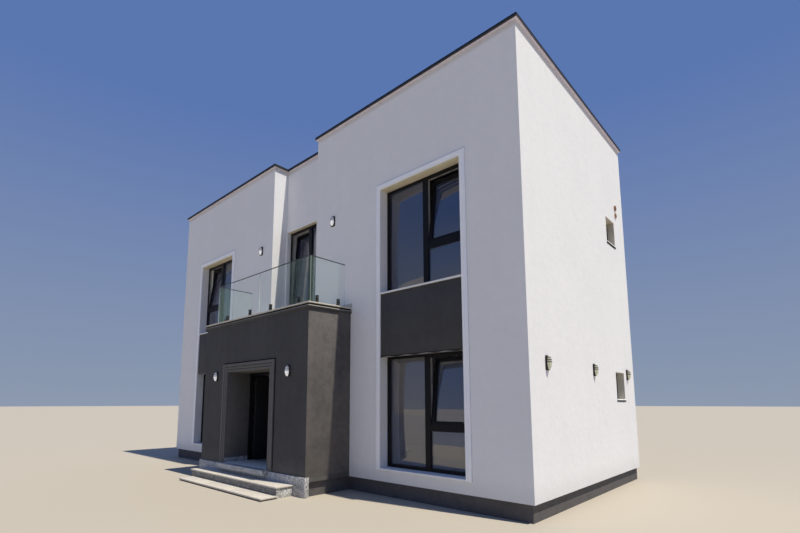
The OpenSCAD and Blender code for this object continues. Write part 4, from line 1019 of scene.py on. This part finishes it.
piece("coping_sheets", "coping_metal", coping(), (coping_sheet, painted_reflection_lip), "coping_cap")
piece("deck_seams", "roof_membrane", deck_seams(), (deck_membrane,))


# Entrance
def surround():
    """The doorway's surround: bands that step out away from the opening, each with an eased
    arris and a narrow quirk before the next, and a strip round it; the quirks and the strip are
    near black, which is painted shade."""
    band, step = SURROUND_W / SURROUND_BANDS, SURROUND_T / SURROUND_BANDS
    profile = [(0.0, -0.002)]
    for i in range(SURROUND_BANDS):
        near, far, out = i * band, (i + 1) * band, (i + 1) * step
        profile += [(near, out - 0.004), (near + 0.004, out), (far - 0.018, out),
                    (far - 0.012, out - 0.008), (far - 0.005, out - 0.008)]
    profile[-2:] = [(SURROUND_W - 0.003, SURROUND_T), (SURROUND_W, SURROUND_T - 0.004)]
    profile.append((SURROUND_W, -0.002))
    # Near-black strip round the surround: painted shade at its edge
    joint = strip(SURROUND_W - 0.001, SURROUND_W + 0.028, -0.002, 0.002)
    quirks = [strip(i * band - 0.014, i * band - 0.001, i * step - 0.012, i * step - 0.0072)
              for i in range(1, SURROUND_BANDS)]
    return moulding(DOOR_X, DOOR_Z, PORCH_Y, (0, profile), (1, joint),
                    *[(1, quirk) for quirk in quirks])


piece("doorway_surround", "dark_render", surround(), (surround_paint, painted_shade_near_black),
      "entrance_surround")
side_light = (STRIKE_X + DOOR_FRAME_W, DOOR_X[1] - DOOR_FRAME_W), inner(DOOR_Z, DOOR_FRAME_W)


def entrance_casing():
    """The frame of the entrance: cut by the doorway and by the side light, with the side
    light's beads and a gasket down the doorway's jambs and head."""
    y, hole = DOOR_FRAME_Y, (DOOR_X[0] + DOOR_FRAME_W, STRIKE_X)
    top = DOOR_Z[1] - DOOR_FRAME_W
    body = fretted(box(DOOR_X, (y, y + FRAME_D), DOOR_Z),
                   box(hole, THROUGH, (GROUND_Z - 1, top), False),
                   box(side_light[0], THROUGH, side_light[1], False))
    seal = framed(hole, (GROUND_Z, top), y, (2, strip(0, 0.0015, 0.05, 0.058)), closed=False)
    return together(body, seal, glazing(*side_light, y))


profiles("entrance_casing", entrance_casing(), "door_frame", soft=FRAME_EASE)
panes("side_light_pane", pane(*side_light, DOOR_FRAME_Y), "side_light")


def porch_coats():
    """A paler copy of the dark render on the porch's sunny side, over the granite, which is
    painted sunlight with a high foot of painted light bounced up from the ground, and a finer
    coat on the doorway's reveals and soffit."""
    coat, y = 0.002, (PORCH_Y + 0.0005, DOOR_FRAME_Y)
    return together(
        block((PORCH_RIGHT - 0.001, PORCH_RIGHT + coat), (PORCH_Y + 0.0002, FRONT_Y),
              (GRANITE_Z + 0.001, SLAB_UNDER_Z + 0.1), 0.0008),
        *[block(about(x, coat), y, (GROUND_Z + 0.1, DOOR_Z[1]), 0.0004, 1) for x in DOOR_X],
        block(DOOR_X, y, about(DOOR_Z[1], coat), 0.0004, 1))


piece("porch_coats", "dark_render", porch_coats(), (sunlit_painted_render, surround_paint))


def swung(form):
    """A form drawn with the leaf closed, turned a quarter about the hinges' axis."""
    return turned(form, QUARTER, (HINGE_X, HINGE_Y, 0))


def entrance_leaf():
    """The door's leaf: eased edges, a gasket in a groove round its inner rim, a foot seal,
    and the lock's steel face plate in its striking edge."""
    x, z, middle = LEAF_X, LEAF_Z, sum(LEAF_Y) / 2
    return together(
        block(x, LEAF_Y, z),
        framed(x, z, LEAF_Y[1], (1, strip(-0.0004, 0.004, -0.02, -0.012))),
        block((x[1] - 0.002, x[1] + 0.0008), about(middle, 0.01), inner(z, 0.15), 0.0004, 2),
        block(inner(x, 0.02), about(middle, 0.006), (z[0] - 0.0015, z[0] + 0.002), 0.0005, 1))


def lever(side):
    """A lever on one face of the leaf: a domed rose, a neck, and a round bar that bends
    towards the hinges."""
    face = LEAF_Y[0] if side < 0 else LEAF_Y[1]
    rose = stud(ROSE_D, (HANDLE_X, face, HANDLE_Z), side,
                ((0, 0), (0, 0.005), (0.002, 0.0075), (0.008, 0.008)), 10)
    r, bend, out = LEVER_R, 0.014, HANDLE_OUT - LEVER_R
    turn = np.linspace(0, pi / 2, 7)
    x = HANDLE_X - np.concatenate([[0], bend * (1 - np.cos(turn)), [LEVER_L - 2 * r]])
    y = np.concatenate([[0.004], out - bend + bend * np.sin(turn), [out]])
    path = np.stack([x, face + side * y, np.full(len(x), HANDLE_Z)], 1)
    return together(rose, tube(path, r, 16))


piece("entrance_leaf", "door_skin", swung(entrance_leaf()), (door_skin, gasket, steel),
      "door_leaf", body="door")
piece("lever_handles", "steel", swung(together(lever(-1), lever(1))), (steel,), "door_handle",
      body="door")


def hinge_half(way, start, end):
    """The knuckle and the screwed flap of every hinge on one side of its gap."""
    r, face = HINGE_R, LEAF_Y[1] + 0.003
    profile = ((r * 0.5, start), (r, start + 0.001), (r, end - 0.001), (r * 0.5, end))
    flap = sorted((HINGE_X, HINGE_X + way * HINGE_FLAP))
    screw = sum(flap) / 2 + way * 0.006
    parts = []
    for level in HINGE_LEVELS:
        z = (level + start, level + end)
        parts += [lathed(profile, (HINGE_X, HINGE_Y, level)),
                  block(flap, (LEAF_Y[1] + 0.0002, face), inner(z, 0.001), 0.0008)]
        parts += [stud(0.008, (screw, face, z[0] + share * (z[1] - z[0])), 1,
                       ((0, 0), (0.0012, 0.0012))) for share in (0.25, 0.75)]
    return together(*parts)


piece("frame_hinge_halves", "steel", hinge_half(-1, -HINGE_L / 2, -HINGE_SLIT), (black_metal,),
      "frame_hinges")
piece("leaf_hinge_halves", "steel", swung(hinge_half(1, HINGE_SLIT, HINGE_L / 2)),
      (black_metal,), "leaf_hinges", body="door")


def slabs(cuts, y, z, ease=0.003, gap=0.003, kind=0):
    """A row of stone slabs between cuts along x, parted by narrow joints."""
    return together(*[block((a + gap / 2, b - gap / 2), y, z, ease, kind)
                      for a, b in zip(cuts, cuts[1:])])


def stone_steps():
    """The lower step, the upper step's riser and its tread, each in slabs with eased edges
    on a near-black bed that shows in the joints as mortar and under the noses as painted
    shade. The riser's front is in a darker copy of granite, painted shade."""
    tread, riser, lower = (np.linspace(*ends, 4) for ends in (TREAD_X, RISER_X, LOWER_STEP_X))
    back, foot = UPPER_STEP_BACK, STEP_Y + 0.02
    beds = [(inner(TREAD_X, 0.01), (STEP_Y + 0.008, back),
             (TREAD_Z[0] - 0.001, TREAD_Z[1] - 0.004)),
            (inner(RISER_X, 0.02), (STEP_Y + 0.035, back), (0, TREAD_Z[0] + 0.001)),
            (inner(LOWER_STEP_X, 0.018), (LOWER_STEP_Y + 0.016, foot),
             (0, LOWER_STEP_Z[1] - 0.006))]
    return together(
        slabs(tread, (STEP_Y, back), TREAD_Z, 0.005),
        slabs(riser, (foot, back), (0, RISER_Z), 0.002, kind=1),
        block((RISER_X[1] - 0.002, RISER_X[1] + 0.0003), (STEP_Y + 0.022, back), (0, RISER_Z),
              0.0008, 3),
        slabs(lower, (LOWER_STEP_Y, foot), LOWER_STEP_Z, 0.005),
        *[block(*bed, 0.001, 2) for bed in beds])


def granite_facing():
    """The granite facing round the porch's foot, in slabs, broken by the threshold's ears,
    and the skirting slabs of the doorway's reveals."""
    t, top, split, skirting = GRANITE_T, GRANITE_Z, -2.75, 0.012
    left, right = PORCH_LEFT - t, PORCH_RIGHT + t
    y = (PORCH_Y - t, PORCH_Y - 0.0005)
    parts = [slabs((left, (left + EAR_LEFT) / 2, EAR_LEFT), y, (0, top)),
             slabs(np.linspace(EAR_LEFT, EAR_RIGHT, 3), y, (0, FLOOR_UNDER_Z - 0.001)),
             slabs((EAR_RIGHT, (right + EAR_RIGHT) / 2, right), y, (0, top))]
    parts += [block(x, (PORCH_Y - t + 0.001, PORCH_Y + 0.07), (0, top))
              for x in ((left, PORCH_LEFT - 0.0005), (PORCH_RIGHT + 0.0005, right))]
    parts += [block(x, y, (GROUND_Z + 0.001, GROUND_Z + 0.1), 0.002)
              for x in ((DOOR_X[0], DOOR_X[0] + skirting), (DOOR_X[1] - skirting, DOOR_X[1]))
              for y in ((PORCH_Y + 0.001, split), (split + 0.003, DOOR_FRAME_Y - 0.0005))]
    return together(*parts)


def entrance_floor():
    """The threshold: a front slab with eased nose past the porch, and the floor behind it
    in three slabs."""
    back, z = FLOOR_BACK_Y, (FLOOR_UNDER_Z, GROUND_Z)
    return together(
        slabs((EAR_LEFT, EAR_RIGHT), (FLOOR_NOSE_Y, PORCH_Y), z, 0.006, 0, 2),
        slabs(np.linspace(*DOOR_X, 4), (PORCH_Y + 0.003, back), z, 0.002),
        block(DOOR_X, (PORCH_Y - 0.001, back), (z[0], z[1] - 0.003), 0.001, 1))


piece("stone_steps", "light_stone", stone_steps(),
      (pale_stone, riser_granite_painted_shade, mortar_and_painted_shade, salt_granite), "upper_tread", "upper_step", "lower_step")
piece("granite_facing", "granite", granite_facing(), (grey_granite,), "granite_base",
      "reveal_skirting")
piece("entrance_floor", "granite", entrance_floor(), (porch_stone, mortar_and_painted_shade, grey_granite),
      "threshold")


# Balcony
def slab_edge():
    """The slab with its level underside, and the moulding carried round its edge: a deep
    quirk under the paving, near black as painted shade, a lip that leans back and is painted
    paler where it faces up as the sun on it, an ovolo under it, and a fillet."""
    turn = np.linspace(0, pi / 2, 6)[1:]
    edge = [(-0.05, PAVING_T), (0.010, PAVING_T), (0.010, 0.062), (0.034, 0.067),
            (0.037, 0.070), (0.041, 0.084), (0.0415, 0.088), (0.038, 0.0915)]
    edge += [(0.016 + 0.022 * np.cos(a), 0.092 + 0.034 * np.sin(a)) for a in turn]
    edge += [(0.014, 0.134), (-0.05, 0.134)]
    # Where the lip faces up it is paler: painted sunlight
    lit_lip = ((0.030, 0.0665), (0.0345, 0.0665), (0.0375, 0.0695), (0.0412, 0.0835),
               (0.0418, 0.0875), (0.030, 0.0875))
    # A near-black strip in the quirk: painted shade under the paving's nose
    painted_shade_quirk = strip(0.0, 0.0105, 0.033, 0.0618)
    path = ((PORCH_RIGHT, FRONT_Y, UPPER_Z), (PORCH_RIGHT, PORCH_Y, UPPER_Z),
            (PORCH_LEFT, PORCH_Y, UPPER_Z), (PORCH_LEFT, FRONT_Y, UPPER_Z))
    z = (SLAB_UNDER_Z, UPPER_Z - PAVING_T - 0.001)
    body = fretted(box((PORCH_LEFT, PORCH_RIGHT), (PORCH_Y, FRONT_Y), z),
                   box((RECESS_LEFT, RECESS_RIGHT), (FRONT_Y, RECESS_Y), z))
    return together(fallen(body, above=SLAB_UNDER_Z + 0.01), *[
        fallen(carried(-np.array(profile), path, kind=kind))
        for kind, profile in enumerate((edge, lit_lip, painted_shade_quirk))])


def paving_slabs():
    """The balcony's paving in slabs with eased edges on a bed: two rows whose front and side
    slabs form the nose, and one row in the recess."""
    out, recess = PAVING_OUT, (RECESS_LEFT, RECESS_RIGHT)
    x = np.linspace(PORCH_LEFT - out, PORCH_RIGHT + out, 8)
    y = (PORCH_Y - out, (PORCH_Y - out + FRONT_Y) / 2, FRONT_Y - 0.001)
    z = (UPPER_Z - PAVING_T, UPPER_Z)
    bed_z = (z[0], z[1] - 0.003)
    return fallen(together(
        *[slabs(x, (a + 0.0015, b - 0.0015), z, 0.004) for a, b in zip(y, y[1:])],
        slabs(np.linspace(*recess, 4), (FRONT_Y + 0.002, RECESS_Y), z),
        block(inner(x[[0, -1]], 0.006), (y[0] + 0.006, FRONT_Y), bed_z, 0.001, 1),
        block(recess, (FRONT_Y, RECESS_Y), bed_z, 0.001, 1)))


def tile_skirting():
    """The tile skirting along the walls that the balcony meets."""
    profile = ((-0.001, 0), (0.009, 0), (0.009, 0.096), (0.006, 0.1), (-0.001, 0.1))
    left = ((PORCH_LEFT - PAVING_OUT, FRONT_Y), (RECESS_LEFT, FRONT_Y), (RECESS_LEFT, RECESS_Y),
            (BALCONY_DOOR_X[0], RECESS_Y))
    right = ((BALCONY_DOOR_X[1], RECESS_Y), (RECESS_RIGHT, RECESS_Y), (RECESS_RIGHT, FRONT_Y),
             (PORCH_RIGHT + PAVING_OUT, FRONT_Y))
    return fallen(together(*[carried(profile, [(x, y, UPPER_Z) for x, y in path])
                             for path in (left, right)]))


piece("balcony_cornice", "dark_render", slab_edge(), (cornice_render, painted_sunlit_lip, painted_shade_near_black),
      "balcony_slab")
piece("balcony_slabs", "light_stone", paving_slabs(), (pale_stone, mortar_and_painted_shade), "balcony_paving")
piece("balcony_skirting", "light_stone", tile_skirting(), (pale_stone,))


def door_head_lining():
    """A skin of plaster under the balcony door's head, warm and pale as painted light
    bounced up from below, with a bead along its front edge.
    """
    deep, skin, bead = RECESS_Y - BALCONY_DOOR_Y, 0.0015, 0.004
    profile = ((deep, -skin), (deep, 0.0005), (-0.0005, 0.0005), (-0.0005, -0.002),
               (-0.002, -bead), (-0.012, -bead), (-0.014, -skin))
    return along(profile, BALCONY_DOOR_X, RECESS_Y, BALCONY_DOOR_Z[1])


balcony_height = inner(BALCONY_DOOR_Z, FRAME_W)
leaf_light = (BALCONY_DOOR_X[0] + FRAME_W, BALCONY_MULLION[0]), balcony_height
fixed_light = (BALCONY_MULLION[1], BALCONY_DOOR_X[1] - FRAME_W), balcony_height
leaf_place = (inner(leaf_light[0], SASH_GAP), (balcony_height[0], balcony_height[1] - SASH_GAP),
              BALCONY_DOOR_Y)


def tilt_balcony(form):
    """The balcony leaf's form turned in about its foot."""
    return tipped(form, BALCONY_DOOR_Y + FRAME_D, balcony_height[0], BALCONY_TILT)


piece("balcony_head_lining", "white_render", door_head_lining(), (painted_bounce_plaster,))
profiles("balcony_casing", casing(BALCONY_DOOR_X, BALCONY_DOOR_Z, BALCONY_DOOR_Y, [fixed_light],
                                  leaf_light), "balcony_door_frame", soft=FRAME_EASE)
profiles("balcony_leaf", tilt_balcony(leaf(*leaf_place)), "balcony_door_leaf")
panes("balcony_panes", together(pane(*fixed_light, BALCONY_DOOR_Y),
                                tilt_balcony(leaf_pane(*leaf_place))), "balcony_door_glass")


def rail_glasses():
    """Four sheets of laminated glass with eased edges, whose feet follow the paving."""
    t, joint, ease = RAIL_T / 2, 0.005, 0.0015
    z = (UPPER_Z + RAIL_UNDER, RAIL_TOP_Z - 0.0075)
    front = [edged(block(x, about(RAIL_FRONT_Y, t), z, ease), 1) for x in (
        (RAIL_LEFT - t, RAIL_JOINT_X - joint), (RAIL_JOINT_X + joint, RAIL_RIGHT + t))]
    sides = [edged(block(about(x, t), (RETURN_Y, RAIL_BACK_Y), z, ease), 0)
             for x in (RAIL_LEFT, RAIL_RIGHT)]
    return fallen(together(*front, *sides), below=z[1] - 0.1)


def rail_cap():
    """The balustrade's cap: an eased channel carried round its three sides."""
    profile = eased(((-0.012, -0.015), (-0.012, 0), (0.012, 0), (0.012, -0.015)), 0.003, 3)
    path = ((RAIL_RIGHT, RAIL_BACK_Y), (RAIL_RIGHT, RAIL_FRONT_Y), (RAIL_LEFT, RAIL_FRONT_Y),
            (RAIL_LEFT, RAIL_BACK_Y))
    return carried(profile, [(x, y, RAIL_TOP_Z) for x, y in path])


def glass_clamp():
    """A clamp about a sheet that runs along x: a foot, two jaws with eased edges, thin pads
    on the glass, and two bolts with round heads through each jaw."""
    wide, deep, t = about(0, CLAMP_W / 2), CLAMP_D / 2, RAIL_T / 2
    parts = [block(wide, (-deep, deep), (0, 0.012), 0.002)]
    for side in (-1, 1):
        jaw = sorted((side * (t + 0.0015), side * deep))
        pad = sorted((side * t, side * (t + 0.002)))
        parts += [block(wide, jaw, (0.011, CLAMP_H)),
                  block(inner(wide, 0.001), pad, (0.012, CLAMP_H - 0.001), 0.0005, 1)]
        parts += [stud(0.018, (0, side * deep, z), side, ((0, -0.001), (0, 0.001), (0.002, 0.003)),
                       5, 2) for z in (0.045, 0.115)]
    return together(*parts)


def clamps():
    """The clamps along the front sheets and on both returns."""
    places = [(np.eye(3), x, RAIL_FRONT_Y) for x in FRONT_CLAMP_X]
    places += [(QUARTER, x, y) for x in (RAIL_LEFT, RAIL_RIGHT) for y in RETURN_CLAMP_Y]
    form = glass_clamp()
    return fallen(together(*[moved(form, turn, (x, y, UPPER_Z)) for turn, x, y in places]))


piece("rail_sheets", "rail_glass", rail_glasses(), (rail_glass, rail_edge), "balustrade_glass")
piece("rail_cap", "lamp_metal", rail_cap(), (cap_metal,), "balustrade_cap")
piece("rail_clamps", "lamp_metal", clamps(), (black_metal, gasket, steel), "balustrade_clamps")


# Lamps
def at_lamps(form, duller=0):
    """A form drawn on a wall that faces the front, at every lamp of the house: on the front
    walls, on the porch, and turned a quarter on both sides, where its finishes may be
    others, counted on by a number: the side lamps stand in the sun and get darker copies of
    the glass without the painted glow."""
    points, faces, kinds = form
    sunned = points, faces, [kind + duller for kind in kinds]
    return together(
        *[moved(form, shift=(x, y, z)) for x in LAMP_X
          for y, z in ((FRONT_Y, LAMP_UPPER_Z), (PORCH_Y, LAMP_LOWER_Z))],
        *[on_sides(sunned, y, LAMP_LOWER_Z) for y in SIDE_LAMP_Y])


def lamp_plate():
    """A lamp's cast plate: a rounded rim, a shallow cove, a raised field, and two screws."""
    levels = ((0, 0), (0, 0.012), (0.0012, 0.0148), (0.004, 0.016), (0.008, 0.016),
              (0.0082, 0.027), (0.0095, 0.0294), (0.012, LAMP_T))
    axes = (ACROSS, UPWARD, (0, -1, 0))
    return together(
        stacked((LAMP_W, LAMP_H), 0.03, levels, (0, 0, 0), axes, 6),
        *[stud(0.009, (0, -LAMP_T, z), -1, ((0, -0.001), (0, 0.001), (0.0015, 0.002)))
          for z in (-0.113, 0.115)])


def globe_radius(level):
    """The globe's radius at a level: half an ellipse from its foot to its top."""
    return GLOBE_R * np.sqrt(1 - (level / GLOBE_H) ** 2)


def lamp_globe():
    """The front half of an egg: opal below its middle, brightened by a painted glow, and
    duller prisms above it with less of that glow.
    """
    levels = GLOBE_H * np.sin(np.linspace(-0.98 * pi / 2, 0.98 * pi / 2, 19))
    profile = [(globe_radius(level), level) for level in levels]
    points, faces, _ = lathed(profile, (0, -LAMP_T, 0), 40)
    points[:, 1] = np.minimum(points[:, 1], -LAMP_T + 0.002)
    return points, faces, [int(points[face, 2].mean() > 0) for face in faces]


def lamp_ribs():
    """Ribs round the front of the globe's upper half, with rounded outer edges."""
    turn = np.linspace(0, pi, 25)
    ribs = []
    for level in RIB_LEVELS:
        r = globe_radius(level)
        profile = eased(((-0.008, 0), (RIB_OUT, 0), (RIB_OUT, RIB_H), (-0.008, RIB_H)), 0.0025, 3)
        path = np.stack([-r * np.cos(turn), -LAMP_T - r * np.sin(turn), level + 0 * turn], 1)
        ribs.append(carried(profile, path))
    return together(*ribs)


piece("lamp_backs", "lamp_metal", at_lamps(lamp_plate()), (black_metal,), "lamp_plates")
piece("lamp_bowls", "lamp_glass", at_lamps(lamp_globe(), 2),
      (lamp_opal, lamp_prism, sunlit_dimmed_glass, sunlit_dimmed_prism), "lamp_globes")
piece("lamp_bands", "lamp_metal", at_lamps(lamp_ribs()), (black_metal,), "lamp_ribs")


# Stage, light and camera
FLOOR_HALF, FLOOR_COLOR = 300, (0.402, 0.365, 0.304)
DOME_LOW, DOME_HIGH, DOME_STRENGTH = (0.56, 0.68, 0.90, 1), (0.22, 0.39, 0.92, 1), 0.47
KEY_FROM, KEY_COLOR, KEY_STRENGTH, KEY_WIDTH = (1.0, 0.166, 2.5), (1.0, 0.93, 0.79), 5.0, 0.6
CAMERA_AT, CAMERA_TILT, CAMERA_TURN = (9.447, -8.529, 1.792), 0.1295, 0.7502
LENS, SENSOR_WIDTH, SHIFT_X, SHIFT_Y, FAR = 20.377, 36.0, 0.0189, 0.0970, 1000.0

floor_mesh = bpy.data.meshes.new("studio_floor")
corners = [(x * FLOOR_HALF, y * FLOOR_HALF, 0) for x, y in ((-1, -1), (1, -1), (1, 1), (-1, 1))]
floor_mesh.from_pydata(corners, [], [(0, 1, 2, 3)])
floor_mesh.materials.append(Finish("floor_paint").done(base_color=FLOOR_COLOR, roughness=0.9))
studio_floor = placed("studio_floor", floor_mesh)


def studio_light():
    """An even dome that is bluer overhead, and one key light from the right whose shadows
    have nearly sharp edges."""
    dome = Finish("studio_dome", "worlds", "Generated")
    color = dome.add("ValToRGB", {"stops": ((0.0, DOME_LOW), (0.55, DOME_HIGH))},
                     {0: dome.place.part("Z")})
    glow = dome.add("Background", {}, {"Color": color, "Strength": DOME_STRENGTH})
    dome.add("OutputWorld", {}, {"Surface": glow})
    bpy.context.scene.world = dome.owner
    key = bpy.data.lights.new("key", "SUN")
    key.energy, key.angle, key.color = KEY_STRENGTH, radians(KEY_WIDTH), KEY_COLOR
    lamp = placed("key", key)
    lamp.rotation_euler = Vector(KEY_FROM).to_track_quat("Z", "Y").to_euler()


studio_light()

camera = placed("camera", bpy.data.cameras.new("camera"))
camera.location = CAMERA_AT
camera.rotation_euler = (pi / 2 + CAMERA_TILT, 0, CAMERA_TURN)
camera.data.lens, camera.data.sensor_width, camera.data.clip_end = LENS, SENSOR_WIDTH, FAR
camera.data.shift_x, camera.data.shift_y = SHIFT_X, SHIFT_Y
bpy.context.scene.camera = camera
bpy.context.scene.view_settings.view_transform = "Standard"
bpy.context.scene.view_settings.look = "None"
